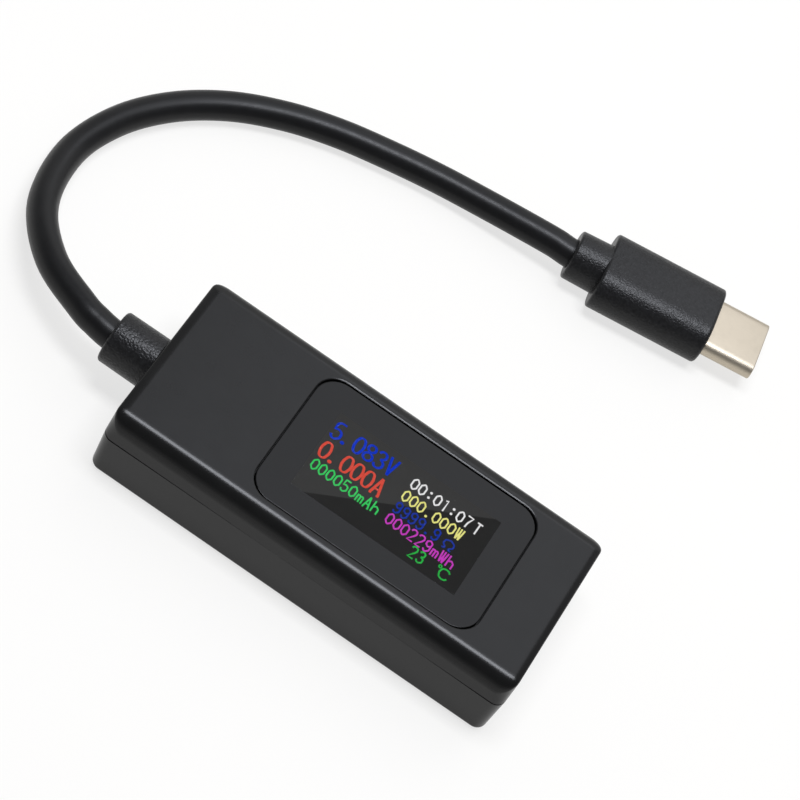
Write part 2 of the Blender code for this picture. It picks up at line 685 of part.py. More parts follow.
def make_socket():
    front = END_X - SOCKET_SINK
    middle = (front - SOCKET_LENGTH / 2, 0.0, AXIS_HEIGHT)
    mesh = oblong_mesh("receptacle_shell", SOCKET_WIDTH, SOCKET_HEIGHT, SOCKET_LENGTH, ALONG_X)
    shell = add_part("receptacle_shell", mesh, "nickel", middle)
    inner_width = SOCKET_WIDTH - 2 * SOCKET_WALL
    inner_height = SOCKET_HEIGHT - 2 * SOCKET_WALL
    bore = oblong_mesh("socket_bore", inner_width, inner_height, SOCKET_LENGTH + MARGIN, ALONG_X)
    cut(shell, add_cutter("socket_bore", bore, middle))
    rear = front - SOCKET_LENGTH
    base = oblong_mesh(
        "receptacle_tongue", inner_width - 2 * SEAT, inner_height - 2 * SEAT, SOCKET_BASE, ALONG_X
    )
    tongue = add_part(
        "receptacle_tongue", base, "contact_plastic", (rear + SOCKET_BASE / 2, 0.0, AXIS_HEIGHT)
    )
    blade_length = TONGUE_LENGTH + SOCKET_BASE / 2
    blade = add_cutter(
        "tongue_blade",
        box_mesh("tongue_blade", (blade_length, TONGUE_WIDTH, TONGUE_THICKNESS)),
        (rear + SOCKET_BASE + TONGUE_LENGTH - blade_length / 2, 0.0, AXIS_HEIGHT),
    )
    join(tongue, blade)


def make_key():
    """The key with its flange, and the side switch that it presses. The key's origin is on its slide."""
    flange_y = FLANGE_OUTER_Y - KEY_FLANGE_THICKNESS / 2
    face_y = SIDE_Y + KEY_PROUD
    cap = oblong_mesh("function_button", KEY_LENGTH, KEY_HEIGHT, face_y - flange_y, ALONG_Y)
    cap.transform(Matrix.Translation((0.0, (face_y + flange_y) / 2 - SIDE_Y, 0.0)))
    key = add_part("function_button", cap, "key_plastic", (KEY_X, SIDE_Y, AXIS_HEIGHT))
    round_edges(key, KEY_EDGE, segments=3)
    flange = box_mesh("key_flange", (KEY_FLANGE_LENGTH, KEY_FLANGE_THICKNESS, KEY_FLANGE_HEIGHT))
    join(key, add_cutter("key_flange", flange, (KEY_X, flange_y, AXIS_HEIGHT)))
    switch_height = 2 * (AXIS_HEIGHT - BOARD_TOP - SEAT)
    body = box_mesh("switch_body", (SWITCH_LENGTH, SWITCH_DEPTH, switch_height))
    switch_y = SWITCH_FRONT_Y - SWITCH_DEPTH / 2
    switch = add_part("switch_body", body, "chip_epoxy", (KEY_X, switch_y, AXIS_HEIGHT))
    plunger_depth = SWITCH_REACH + PLUNGER_HIDDEN
    plunger_y = PLUNGER_TIP_Y - plunger_depth / 2
    plunger = box_mesh("switch_plunger", (PLUNGER_LENGTH, plunger_depth, PLUNGER_HEIGHT))
    moved = add_part("switch_plunger", plunger, "key_plastic", (KEY_X, plunger_y, AXIS_HEIGHT))
    round_edges(moved, CHIP_EDGE)
    pocket_depth = PLUNGER_HIDDEN + KEY_TRAVEL + SEAT + MARGIN
    pocket_size = (PLUNGER_LENGTH + 2 * SEAT, pocket_depth, PLUNGER_HEIGHT + 2 * SEAT)
    pocket_y = SWITCH_FRONT_Y + MARGIN - pocket_depth / 2
    pocket = add_cutter(
        "plunger_pocket", box_mesh("plunger_pocket", pocket_size), (KEY_X, pocket_y, AXIS_HEIGHT)
    )
    cut(switch, pocket)


def make_strain_relief():
    """A bush turned about the cable: outside barrel, neck in the wall and flange behind it."""
    flange_front = -WALL - SEAT
    flange_back = -END_X - FLANGE_X
    profile = [(0.0, RELIEF_LENGTH)]
    profile += rounded_corner(RELIEF_END_RADIUS, RELIEF_LENGTH, RELIEF_EDGE)
    profile += [
        (RELIEF_RADIUS, SEAT),
        (NECK_RADIUS, SEAT),
        (NECK_RADIUS, flange_front),
        (FLANGE_RADIUS, flange_front),
        (FLANGE_RADIUS, flange_back),
        (0.0, flange_back),
    ]
    relief = add_part(
        "strain_relief", profile_mesh("strain_relief", profile), "grip_plastic", (-END_X, 0.0, AXIS_HEIGHT)
    )
    relief.rotation_euler = (0.0, -math.pi / 2, 0.0)
    turned(relief)


def make_cores():
    """The cable's jacket behind the bush, and its cores fanned out to their pads on the board."""
    jacket = cylinder_mesh("cable_tail", CORD_RADIUS, TAIL_LENGTH, ALONG_X, segments=20)
    add_part("cable_tail", jacket, "cable_jacket", ((TAIL_START_X + TAIL_END_X) / 2, 0.0, AXIS_HEIGHT))
    start_x = TAIL_END_X + SEAT
    pad_x = BOARD_START_X + CORE_PAD_INSET
    for name, radius, angle, across in CORES:
        radius *= MM
        pad_y = across * BOARD_WIDTH / 2
        start_y = CORE_RING * math.cos(math.radians(angle))
        start_z = AXIS_HEIGHT + CORE_RING * math.sin(math.radians(angle))
        pad_z = BOARD_TOP + SEAT + radius
        knots = (
            (start_x + radius, start_y, start_z),
            ((start_x + pad_x) / 2, (start_y + pad_y) / 2, (start_z + pad_z) / 2),
            (pad_x - 2 * radius, pad_y, pad_z),
            (pad_x, pad_y, pad_z),
        )
        path = [Vector((start_x, start_y, start_z)), *smooth_path(knots, 3)]
        add_part(name, tube_curve(name, path, radius), CORE_FINISHES[name])


def make_cord(plug_frame):
    start = Vector((-END_X - RELIEF_LENGTH - FIT, 0.0, AXIS_HEIGHT))
    end = plug_frame @ Vector((-GRIP_LENGTH - COLLAR_LENGTH - FIT, 0.0, 0.0))
    knots = [start]
    for along, across, from_housing, from_plug in CORD_ROUTE:
        rise = from_housing * (start.z - CORD_HEIGHT) + from_plug * (end.z - CORD_HEIGHT)
        knots.append(Vector((-END_X + along * MM, across * MM, CORD_HEIGHT + rise)))
    knots.append(end)
    add_part("cord", tube_curve("cord", smooth_path(knots, 2), CORD_RADIUS), "cable_jacket")


def make_grip(frame):
    """The plug's moulded grip: a flat body with round sides and a round collar behind it."""
    body = oblong_mesh("plug_overmould", GRIP_WIDTH, GRIP_THICKNESS, GRIP_LENGTH, ALONG_X)
    grip = add_part("plug_overmould", body, "grip_plastic", (-GRIP_LENGTH / 2, 0.0, 0.0), frame)
    round_edges(grip, GRIP_EDGE, segments=3)
    profile = [(0.0, COLLAR_LENGTH)]
    profile += rounded_corner(COLLAR_END_RADIUS, COLLAR_LENGTH, COLLAR_EDGE)
    profile += [(COLLAR_RADIUS, 0.0), (COLLAR_RADIUS, -MARGIN), (0.0, -MARGIN)]
    collar_mesh = profile_mesh("grip_collar", profile)
    collar = add_cutter("grip_collar", collar_mesh, (-GRIP_LENGTH, 0.0, 0.0), frame)
    collar.rotation_euler = (0.0, -math.pi / 2, 0.0)
    turned(collar)
    join(grip, collar)
    pocket = oblong_mesh(
        "grip_pocket", PLUG_WIDTH + 2 * SEAT, PLUG_THICKNESS + 2 * SEAT, GRIP_POCKET + MARGIN, ALONG_X
    )
    place = ((MARGIN - GRIP_POCKET) / 2, 0.0, 0.0)
    cut(grip, add_cutter("grip_pocket", pocket, place, frame))


def make_plug_metal(frame):
    length = PLUG_LENGTH + PLUG_HIDDEN
    middle = ((PLUG_LENGTH - PLUG_HIDDEN) / 2, 0.0, 0.0)
    mesh = oblong_mesh("plug_shell", PLUG_WIDTH, PLUG_THICKNESS, length, ALONG_X)
    shell = add_part("plug_shell", mesh, "nickel", middle, frame)
    bore = oblong_mesh(
        "plug_bore", PLUG_WIDTH - 2 * PLUG_WALL, PLUG_THICKNESS - 2 * PLUG_WALL, length + MARGIN, ALONG_X
    )
    cut(shell, add_cutter("plug_bore", bore, middle, frame))
    wafer_length = PLUG_LENGTH - WAFER_SINK + WAFER_HIDDEN
    wafer_x = (PLUG_LENGTH - WAFER_SINK - WAFER_HIDDEN) / 2
    wafer_top = PLUG_THICKNESS / 2 - PLUG_WALL - SEAT
    wafer_height = wafer_top - MOUTH_HEIGHT / 2
    for name, side in (("plug_upper_wafer", 1), ("plug_lower_wafer", -1)):
        wafer = box_mesh(name, (wafer_length, WAFER_WIDTH, wafer_height))
        place = (wafer_x, 0.0, side * (wafer_top - wafer_height / 2))
        add_part(name, wafer, "contact_plastic", place, frame)


def make_latch(frame):
    """The spring latch: two arms beside the wafers, joined by a bar behind the mouth."""
    inner = WAFER_WIDTH / 2 + SEAT
    outer = inner + LATCH_THICKNESS
    tip = PLUG_LENGTH - LATCH_SINK
    back = -WAFER_HIDDEN + SEAT
    bar = back + LATCH_THICKNESS
    outline = (
        (tip, outer),
        (back, outer),
        (back, -outer),
        (tip, -outer),
        (tip, -inner),
        (bar, -inner),
        (bar, inner),
        (tip, inner),
    )
    add_part("plug_latch", outline_mesh("plug_latch", outline, LATCH_HEIGHT), "tinned_metal", parent=frame)


def make_plug_board(frame):
    board = box_mesh("plug_board", (PLUG_BOARD_LENGTH, PLUG_BOARD_WIDTH, PLUG_BOARD_THICKNESS))
    board_x = -PLUG_HIDDEN - SEAT - PLUG_BOARD_LENGTH / 2
    add_part("plug_board", board, "board_laminate", (board_x, 0.0, 0.0), frame)
    chip_z = PLUG_BOARD_THICKNESS / 2 + SEAT + PLUG_RESISTOR[2] / 2
    chip = box_mesh("plug_resistor", PLUG_RESISTOR)
    add_part("plug_resistor", chip, "resistor_ceramic", (board_x, 0.0, chip_z), frame)


def make_plug():
    """The plug lies on the surface beside the housing, turned a little. Returns its place."""
    frame = bpy.data.objects.new("plug_frame", None)
    frame.location = (PLUG_X, PLUG_Y, GRIP_HEIGHT)
    frame.rotation_euler = (0.0, 0.0, PLUG_TURN)
    PARTS.objects.link(frame)
    make_grip(frame)
    make_plug_metal(frame)
    make_latch(frame)
    make_plug_board(frame)
    return Matrix.Translation(frame.location) @ Matrix.Rotation(PLUG_TURN, 4, "Z")


def main():
    openings = wall_cutters()
    make_upper_shell(openings)
    make_lower_shell(openings)
    make_window()
    make_display()
    make_flex()
    make_board()
    make_socket()
    make_key()
    make_strain_relief()
    make_cores()
    make_cord(make_plug())


main()
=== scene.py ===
"""Looks of a small inline USB power meter, laid out as a Blender add-on and run as a script.

Sizes are in metres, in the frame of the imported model. +X runs from the cable end of the housing to its
socket end, +Y is the side with the key, and +Z is up.
"""

import json
import math

import bmesh
import bpy
from bpy.props import FloatProperty, FloatVectorProperty, IntProperty, PointerProperty
from bpy.types import Operator, Panel, PropertyGroup
from mathutils import Matrix, Vector
from mathutils.geometry import interpolate_bezier


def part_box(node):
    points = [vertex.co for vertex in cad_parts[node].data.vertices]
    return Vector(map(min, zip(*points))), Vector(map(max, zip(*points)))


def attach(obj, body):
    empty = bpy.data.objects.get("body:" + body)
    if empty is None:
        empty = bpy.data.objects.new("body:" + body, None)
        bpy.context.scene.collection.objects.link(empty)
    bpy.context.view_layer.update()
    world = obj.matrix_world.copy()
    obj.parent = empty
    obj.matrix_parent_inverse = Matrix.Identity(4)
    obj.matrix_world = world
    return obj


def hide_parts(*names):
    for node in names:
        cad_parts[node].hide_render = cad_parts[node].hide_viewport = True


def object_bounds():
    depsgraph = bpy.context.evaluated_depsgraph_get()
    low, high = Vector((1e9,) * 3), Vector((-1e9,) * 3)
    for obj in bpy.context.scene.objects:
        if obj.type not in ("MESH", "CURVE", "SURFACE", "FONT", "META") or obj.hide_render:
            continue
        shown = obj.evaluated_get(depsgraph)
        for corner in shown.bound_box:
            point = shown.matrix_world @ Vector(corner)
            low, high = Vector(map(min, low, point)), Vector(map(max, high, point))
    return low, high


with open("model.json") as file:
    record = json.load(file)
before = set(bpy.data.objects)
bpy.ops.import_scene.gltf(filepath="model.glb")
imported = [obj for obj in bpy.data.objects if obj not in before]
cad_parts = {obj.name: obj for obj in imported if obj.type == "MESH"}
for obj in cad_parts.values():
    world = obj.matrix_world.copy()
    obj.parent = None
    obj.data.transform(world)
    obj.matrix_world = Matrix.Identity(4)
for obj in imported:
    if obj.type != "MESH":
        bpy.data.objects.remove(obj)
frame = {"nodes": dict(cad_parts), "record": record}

bl_info = {
    "name": "USB power meter looks",
    "version": (1, 0, 0),
    "blender": (4, 5, 0),
    "location": "View3D > Sidebar > Power meter",
    "description": "Dresses the packed model of a USB power meter",
    "category": "Object",
}

MM = 0.001
CAD_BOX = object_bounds()

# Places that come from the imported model
TOP_LOW, TOP_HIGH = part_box("upper_shell")
WINDOW_LOW, WINDOW_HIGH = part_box("display_window")
GLASS_LOW, GLASS_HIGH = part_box("lcd_glass")
SOCKET_LOW, SOCKET_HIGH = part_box("receptacle_shell")
BLADE_LOW, BLADE_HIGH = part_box("receptacle_tongue")
KEY_LOW, KEY_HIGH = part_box("function_button")
GRIP_LOW, GRIP_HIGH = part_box("plug_overmould")
BOARD_LOW, BOARD_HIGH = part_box("main_board")
END_X = TOP_HIGH.x
SIDE_Y = TOP_HIGH.y
TOP_Z = TOP_HIGH.z
AXIS_Z = (SOCKET_LOW.z + SOCKET_HIGH.z) / 2
WINDOW_X = (WINDOW_LOW.x + WINDOW_HIGH.x) / 2
KEY_X = (KEY_LOW.x + KEY_HIGH.x) / 2
GLASS_HALF_X = (GLASS_HIGH.x - GLASS_LOW.x) / 2
GLASS_HALF_Y = (GLASS_HIGH.y - GLASS_LOW.y) / 2
SOCKET_HALF_WIDTH = (SOCKET_HIGH.y - SOCKET_LOW.y) / 2
SOCKET_HALF_HEIGHT = (SOCKET_HIGH.z - SOCKET_LOW.z) / 2
PLUG_MOUNT = next(mount for mount in frame["record"]["mounts"] if mount["name"] == "plug_face")
PLUG_PLACE = Vector((*PLUG_MOUNT["pos_m"][:2], (GRIP_LOW.z + GRIP_HIGH.z) / 2))
PLUG_TURN = math.atan2(PLUG_MOUNT["axis"][1], PLUG_MOUNT["axis"][0])
PLUG_FRAME = Matrix.Translation(PLUG_PLACE) @ Matrix.Rotation(PLUG_TURN, 4, "Z")

# Clearances, and steps that keep a shape crisp
FIT = 0.3 * MM  # where a piece passes through another or lies beside it
SEAT = 0.1 * MM  # where pieces are pressed or glued together
SUPPORT = 0.04 * MM  # from a round edge to the loop that keeps the flat beside it flat
CORNER_STEPS = 8
EDGE_STEPS = 8
SHARP = math.radians(34.0)
WELD = 0.0001 * MM

# Housing
DRAFT = math.tan(math.radians(1.0))
WALL = 1.3 * MM
CAVITY_CORNER = 0.8 * MM
FLAT_CORNER = 0.25 * MM  # corner of the flat top inside the rounded edges
LONG_EDGE_STEPS = 12
PARTING_DROP = 0.03 * MM  # from the edge of the solid's upper half to the parting gap
PARTING_GAP = 0.11 * MM
PARTING_EDGE = 0.06 * MM  # chamfer on each side of the gap
PARTING_TOP = TOP_LOW.z - PARTING_DROP
PARTING_BOTTOM = PARTING_TOP - PARTING_GAP
PARTING_CLOSED = 0.14  # share of the gap that is left where the halves close up
TIGHT_STRETCH = (-0.25, 0.6)  # where they do on the near side, in shares of half its length
LIP_HEIGHT = 0.8 * MM
LIP_THICKNESS = 0.5 * MM
LEDGE_TOP = 9.6 * MM
LEDGE_BOTTOM = 8.8 * MM
LEDGE_RIM = 0.8 * MM
WINDOW_CORNER = 2.9 * MM
WINDOW_EDGE = 0.1 * MM
WINDOW_SPREAD = 0.05 * MM  # how far the window stands out past its solid
WINDOW_HALF_X = (WINDOW_HIGH.x - WINDOW_LOW.x) / 2 + WINDOW_SPREAD
WINDOW_HALF_Y = (WINDOW_HIGH.y - WINDOW_LOW.y) / 2 + WINDOW_SPREAD
WINDOW_GAP = 0.12 * MM  # between the window and its recess
WINDOW_SHIFT = -0.06 * MM  # of the window from the middle of its recess, towards the near side
CORNER_SLACK = 0.2 * MM  # how much less round the recess's corners are than for an even gap
RIM_HEAD = math.radians(10.0)  # tilt of the recess's rim beside the flat top, and at its foot
RIM_FOOT = math.radians(25.0)
RIM_ENDS = 0.4  # width of the rim at the window's ends beside that along its sides
GLASS_CORNER = 0.4 * MM
POST_RADIUS = 1.1 * MM
POST_INSET = 2.2 * MM

# Cable and its bush
BUSH_RADIUS = 3.25 * MM
BUSH_END_RADIUS = 3.22 * MM
BUSH_EDGE = 0.4 * MM
BUSH_X = -END_X - 5.8 * MM  # the face that the cable leaves
NECK_RADIUS = 2.5 * MM
FLANGE_RADIUS = 3.0 * MM
FLANGE_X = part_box("strain_relief")[1].x
BORE_CLEARANCE = 0.06 * MM
BORE_DEPTH = 2.0 * MM
CABLE_REACH = 1.5 * MM  # how far the cable runs into its bush and its plug
CABLE_START_X = BUSH_X - FIT
CABLE_HEIGHT = 1.9 * MM  # of the cable's middle where it lies
CABLE_STEPS = 8  # points from one knot of the route to the next
# Route: along X from the housing's cable end, along Y, and the rise from the surface towards the axis of
# the housing and towards the axis of the plug
CABLE_ROUTE = (
    (-8.0, 0.3, 1.0, 0.0),
    (-10.6, 1.1, 0.965, 0.0),
    (-16.8, 4.6, 0.744, 0.0),
    (-21.8, 11.4, 0.349, 0.0),
    (-23.45, 20.4, 0.035, 0.0),
    (-21.7, 28.0, 0.0, 0.0),
    (-17.9, 34.3, 0.0, 0.0),
    (-12.7, 39.35, 0.0, 0.0),
    (-6.7, 43.0, 0.0, 0.0),
    (-0.4, 45.5, 0.0, 0.0),
    (6.2, 47.2, 0.0, 0.0),
    (12.9, 48.5, 0.0, 0.037),
    (19.7, 49.1, 0.0, 0.37),
    (25.4, 49.35, 0.0, 0.778),
    (28.8, 49.5, 0.0, 0.963),
)

# Plug, drawn along its own +X from the front face of the grip
GRIP_LENGTH = 14.9 * MM
GRIP_HALF_WIDTH = 5.275 * MM
GRIP_HALF_HEIGHT = (GRIP_HIGH.z - GRIP_LOW.z) / 2
GRIP_EDGE = 0.45 * MM
GRIP_BACK_EDGE = 0.4 * MM
COLLAR_LENGTH = 4.1 * MM
COLLAR_RADIUS = 3.22 * MM
COLLAR_END_RADIUS = 3.14 * MM
COLLAR_EDGE = 0.35 * MM
COLLAR_OVERLAP = 2.0 * MM  # how far the collar runs into the grip
POCKET_DEPTH = 7.9 * MM
TONGUE_HALF_WIDTH = 4.125 * MM
TONGUE_HALF_HEIGHT = 1.2 * MM
TONGUE_LENGTH = 6.7 * MM
TONGUE_HIDDEN = 4.0 * MM
TONGUE_WALL = 0.25 * MM
TONGUE_LIP = 0.12 * MM
INSERT_HALF_WIDTH = 3.225 * MM
INSERT_FRONT = 6.3 * MM
INSERT_BACK = -3.5 * MM
INSERT_INNER = 0.375 * MM
INSERT_OUTER = 0.85 * MM
INSERT_EDGE = 0.08 * MM

# Contacts of the plug and the socket
CONTACT_COUNT = 12
CONTACT_PITCH = 0.5 * MM
CONTACT_WIDTH = 0.26 * MM
CONTACT_THICKNESS = 0.08 * MM
PAD_THICKNESS = 0.05 * MM
# A spring contact along the plug in millimetres, and its rise in shares of the crest's
CONTACT_ROUTE = ((1.0, 0.0), (4.0, 0.0), (4.9, 1.0), (5.2, 1.0), (5.8, 0.0))
CONTACT_CORNER = 0.3 * MM

# Socket
SOCKET_WALL = 0.3 * MM
SOCKET_LIP = 0.13 * MM
BLADE_BASE = 1.6 * MM
BLADE_HALF_WIDTH = 3.345 * MM
BLADE_HALF_HEIGHT = 0.35 * MM
BLADE_EDGE = 0.15 * MM
MOUTH_CHAMFER = 0.25 * MM

# Key
KEY_HALF_LENGTH = 3.0 * MM
KEY_HALF_HEIGHT = 1.1 * MM
KEY_FLANGE_THICKNESS = 0.8 * MM
KEY_EDGE = 0.25 * MM
KEY_DISH = 0.08 * MM
DISH_SHARES = (0.35, 0.7, 0.95)  # where the dished top is drawn, from its edge to its middle
KEY_CLEARANCE = 0.2 * MM
KEY_CHAMFER = 0.12 * MM

# Display. The clear part of the window, and where the readings stand, from the middle of the housing
CLEAR_LOW = Vector((-6.4 * MM, -5.87 * MM))
CLEAR_HIGH = Vector((15.2 * MM, 5.63 * MM))
CLEAR_CORNER = 0.1 * MM
READING_LIFT = 0.01 * MM
READING_THICKNESS = 0.01 * MM
GRID_WIDTH = 4  # of the grid that figures are drawn on
GRID_HEIGHT = 8
PIXEL = 0.135 * MM
PAINTED_REFLECTION_START = Vector((-4.5 * MM, -5.27 * MM))  # the painted reflection on the panel ends on a line between these
PAINTED_REFLECTION_END = Vector((14.5 * MM, 6.13 * MM))
PAINTED_REFLECTION_EDGE = 0.06 * MM  # half the width over which it ends
ACUTE = math.radians(75.0)  # a stroke's corner tighter than this stays pointed
FILLET_STEPS = 4
# Colours of the lit readings
INKS = {
    "blue": (0.004, 0.03, 0.47),
    "red": (0.6, 0.065, 0.042),
    "green": (0.035, 0.52, 0.105),
    "white": (0.73, 0.73, 0.74),
    "yellow": (0.71, 0.69, 0.215),
    "deep_blue": (0.006, 0.028, 0.31),
    "magenta": (0.49, 0.04, 0.45),
    "leaf": (0.018, 0.4, 0.053),
}

# Finishes
GLOSS = 0.26  # how strongly the black mouldings reflect
GRAIN_DEPTH = 0.275  # height of the grips' grain beside its width
SPOT_SIZE = 0.8 * MM  # dull spots on plated metal, and how much darker they are
SPOT_SHADE = 0.02
MARK_SIZE = 0.12 * MM  # drawing marks on plated metal
MARK_DEPTH = 0.000015 * MM
UNLIT = (0.002, 0.002, 0.002)  # colour of a part of the display that shows only the light it gives off; on the panel that light is painted light
ACRYLIC_IOR = 1.49
ACRYLIC_TINT = (0.985, 0.985, 0.985)

# Stage
LAMP_COLOUR = (0.955, 0.985, 1.06)
STRIP_LIGHT = ((0.0, 0.02, 0.5), (0.3, 0.13))  # place, then length and width
SOFT_BOX = ((0.052, 0.345, 0.5), (0.295, 0.63))
HORIZON_GREY = 0.5
FLOOR_RADIUS = 3.0
FLOOR_DROP = 0.02 * MM  # below the object, so that the two don't share a plane
FLOOR_MIRRORED = 0.85  # share of the floor's glow that reflections show


def stroke(*points):
    """A stroke of a figure, on the figures' grid."""
    return points, False


def hoop(*points):
    """A stroke that closes on itself."""
    return points, True


def dot(x, y, half=0.35):
    """A square dot about a point."""
    return hoop((x - half, y - half), (x + half, y - half), (x + half, y + half), (x - half, y + half))


# Strokes of the display's figures and units. "O" is the rounder zero of the large rows, "," their dot.
FIGURES = {
    "0": [hoop((2, 8), (0, 6), (0, 2), (2, 0), (4, 2), (4, 6))],
    "O": [
        hoop((2, 8), (0.7, 7.2), (0, 5), (0, 3), (0.7, 0.8), (2, 0), (3.3, 0.8), (4, 3), (4, 5), (3.3, 7.2))
    ],
    "1": [stroke((0.8, 7.1), (2.2, 8), (2.2, 0))],
    "2": [stroke((0, 6.4), (0.6, 7.6), (2, 8), (3.6, 7.4), (4, 5.8), (3.2, 4.2), (0, 0), (4, 0))],
    "3": [
        stroke((0.2, 6.6), (0.8, 7.8), (2.4, 8), (3.7, 7), (3.5, 5), (1.8, 4.3)),
        stroke((1.8, 4.3), (3.9, 3.4), (4, 1.2), (2.2, 0), (0.6, 0.3), (0, 1.6)),
    ],
    "5": [stroke((3.9, 8), (0.5, 8), (0.3, 4.3), (2, 5), (3.8, 4), (4, 1.6), (2.2, 0), (0.6, 0.3), (0, 1.6))],
    "7": [stroke((0, 8), (4, 8), (2.1, 3.4), (1.8, 0))],
    "8": [
        hoop((2, 8), (3.7, 7), (3.7, 5.2), (2, 4.2), (0.3, 5.2), (0.3, 7)),
        hoop((2, 4.2), (4, 3), (4, 1.1), (2, 0), (0, 1.1), (0, 3)),
    ],
    "9": [
        hoop((2, 8), (0.2, 6.8), (0.2, 4.8), (2, 3.5), (3.9, 4.8), (3.9, 6.8)),
        stroke((3.9, 5), (3.9, 1.6), (2.2, 0), (0.6, 0.2), (0.1, 1.4)),
    ],
    ".": [dot(1.6, 0.7)],
    ",": [dot(0.75, 0.7)],
    ":": [dot(1.9, 1.9), dot(1.9, 5.6)],
    "V": [
        stroke((0.3, 8), (2.1, 0)),
        stroke((3.8, 8), (2, 0)),
        stroke((-0.2, 8), (0.9, 8)),
        stroke((3.3, 8), (4.3, 8)),
    ],
    "A": [
        stroke((0.1, 0), (2, 8)),
        stroke((2, 8), (3.9, 0)),
        stroke((0.8, 2.6), (3.2, 2.6)),
        stroke((-0.3, 0), (0.8, 0)),
        stroke((3.1, 0), (4.3, 0)),
    ],
    "T": [stroke((0, 8), (4, 8)), stroke((2, 8), (2, 0))],
    "W": [
        stroke((0, 8), (0.4, 3.6), (1, 0)),
        stroke((1, 0), (2, 5), (2, 8)),
        stroke((2, 5), (3, 0)),
        stroke((3, 0), (3.6, 3.6), (4, 8)),
    ],
    "m": [
        stroke((0, 0), (0, 5)),
        stroke((0, 4), (1, 5), (2, 4), (2, 0)),
        stroke((2, 4), (3, 5), (4, 4), (4, 0)),
    ],
    "h": [stroke((0, 0), (0, 8)), stroke((0, 3.6), (2.2, 5), (4, 3.6), (4, 0))],
    "Ω": [
        stroke(
            *((0.2, 0), (1.3, 0), (1.2, 1.2), (0, 3.4), (0.3, 6.4), (2, 8)),
            *((3.7, 6.4), (4, 3.4), (2.8, 1.2), (2.7, 0), (3.8, 0)),
        )
    ],
    "°": [hoop((1, 8), (3, 8), (4, 4), (3, 0), (1, 0), (0, 4))],
    "C": [stroke((4, 6.2), (3.4, 7.6), (2, 8), (0.6, 7), (0, 4), (0.6, 1), (2, 0), (3.4, 0.4), (4, 1.8))],
}

# Sizes of figures: from one to the next, width and height of each, how far its corners are rounded, its
# stroke, and how thick a level stroke is beside an upright one
LARGE = (1.423, 1.1, 2.4, 0.5, 0.32, 0.7)
SMALL = (1.026, 0.7, 1.57, 0.12, 0.2, 1.0)
OHM = (1.6, 1.3, 1.3, 0.25, 0.2, 1.0)
RING = (0.6, 0.36, 0.36, 0.1, 0.15, 1.0)
CELSIUS = (1.5, 1.15, 1.42, 0.3, 0.2, 1.0)
# Readings: name, figures, left edge, height of the middle of the row, size, slope and colour
READINGS = (
    ("voltage", "5,O83V", -6.0, 3.866, LARGE, 0.0, "blue"),
    ("current", "O,OOOA", -5.93, 0.816, LARGE, -0.3, "red"),
    ("charge", "000050mAh", -5.75, -1.624, SMALL, -1.5, "green"),
    ("elapsed", "00:01:07", 4.58, 3.746, SMALL, -1.5, "white"),
    ("elapsed_unit", "T", 13.05, 3.576, SMALL, -1.5, "white"),
    ("power", "000.000W", 4.5, 1.756, SMALL, -1.5, "yellow"),
    ("resistance", "9999.9", 4.47, -0.089, SMALL, -1.2, "deep_blue"),
    ("resistance_unit", "Ω", 11.06, -0.319, OHM, -1.5, "deep_blue"),
    ("energy", "000229mWh", 4.41, -1.974, SMALL, -1.5, "magenta"),
    ("temperature", "23", 8.58, -3.754, SMALL, -1.0, "leaf"),
    ("degree", "°", 12.08, -3.254, RING, 0.0, "leaf"),
    ("celsius", "C", 12.45, -3.874, CELSIUS, 0.0, "leaf"),
)


def length_property(title, text, size):
    """A property that holds a length."""
    return FloatProperty(name=title, description=text, default=size, unit="LENGTH")


def colour_property(title, text, colour):
    """A property that holds a colour."""
    return FloatVectorProperty(name=title, description=text, default=colour, subtype="COLOR")


class HousingLooks(PropertyGroup):
    """Sizes and colour of the moulded housing and its key."""

    long_edge: length_property("Long edge", "Radius of the long top edges", 2.2 * MM)
    end_edge: length_property("End edge", "Width of the round top edges at the ends", 1.15 * MM)
    end_drop: length_property("End drop", "Height of the round top edges at the ends", 0.5 * MM)
    corner: length_property("Corner", "Radius of the upright corners", 1.3 * MM)
    top_corner: length_property("Top corner", "Radius of the upright corners at the top", 1.8 * MM)
    base_edge: length_property("Base edge", "Radius of the edges underneath", 0.6 * MM)
    rim: length_property("Window rim", "Width of the round rim of the window", 0.23 * MM)
    colour: colour_property("Colour", "Colour of the housing", (0.0086, 0.0086, 0.0086))
    key_colour: colour_property("Key colour", "Colour of the key", (0.012, 0.012, 0.0125))


class DisplayLooks(PropertyGroup):
    """Colour of the window's border, the panel's glow and its painted reflection, and brightness of the
    readings.
    """

    border: colour_property("Border", "Colour of the ink round the clear part", (0.003, 0.003, 0.003))
    # The panel's glow is partly a dark LCD's own faint glow and partly painted light, in place of the light
    # and reflections that fall on it
    panel: colour_property("Panel", "Glow of the dark panel", (0.0206, 0.0206, 0.0207))
    # Painted reflection: a lighter glow over the panel's upper part, in place of the backdrop mirrored in the
    # window
    painted_reflection: colour_property("Haze", "Glow of the hazy part of the panel", (0.0435, 0.0436, 0.0438))
    glow: FloatProperty(name="Glow", description="Brightness of the readings", default=1.05, min=0.0)


class CableLooks(PropertyGroup):
    """Size and colours of the cable and the moulded grips on it."""

    diameter: length_property("Diameter", "Diameter of the cable", 3.7 * MM)
    jacket: colour_property("Jacket", "Colour of the cable's jacket", (0.008, 0.008, 0.0085))
    grip: colour_property("Grip", "Colour of the bush and the plug's grip", (0.012, 0.012, 0.0127))
    grain: length_property("Grain", "Size of the grain on the plug's grip", 0.2 * MM)
    bush_grain: length_property("Bush grain", "Size of the grain on the bush", 0.28 * MM)


class MetalLooks(PropertyGroup):
    """Colours of the plug's and the socket's metal, and how many contacts a row has."""

    nickel: colour_property("Nickel", "Colour of the plated shells", (0.554, 0.49, 0.394))
    gold: colour_property("Gold", "Colour of the contacts", (0.83, 0.6, 0.25))
    contacts: IntProperty(
        name="Contacts", description="Contacts in each row", default=CONTACT_COUNT, min=1, max=24
    )


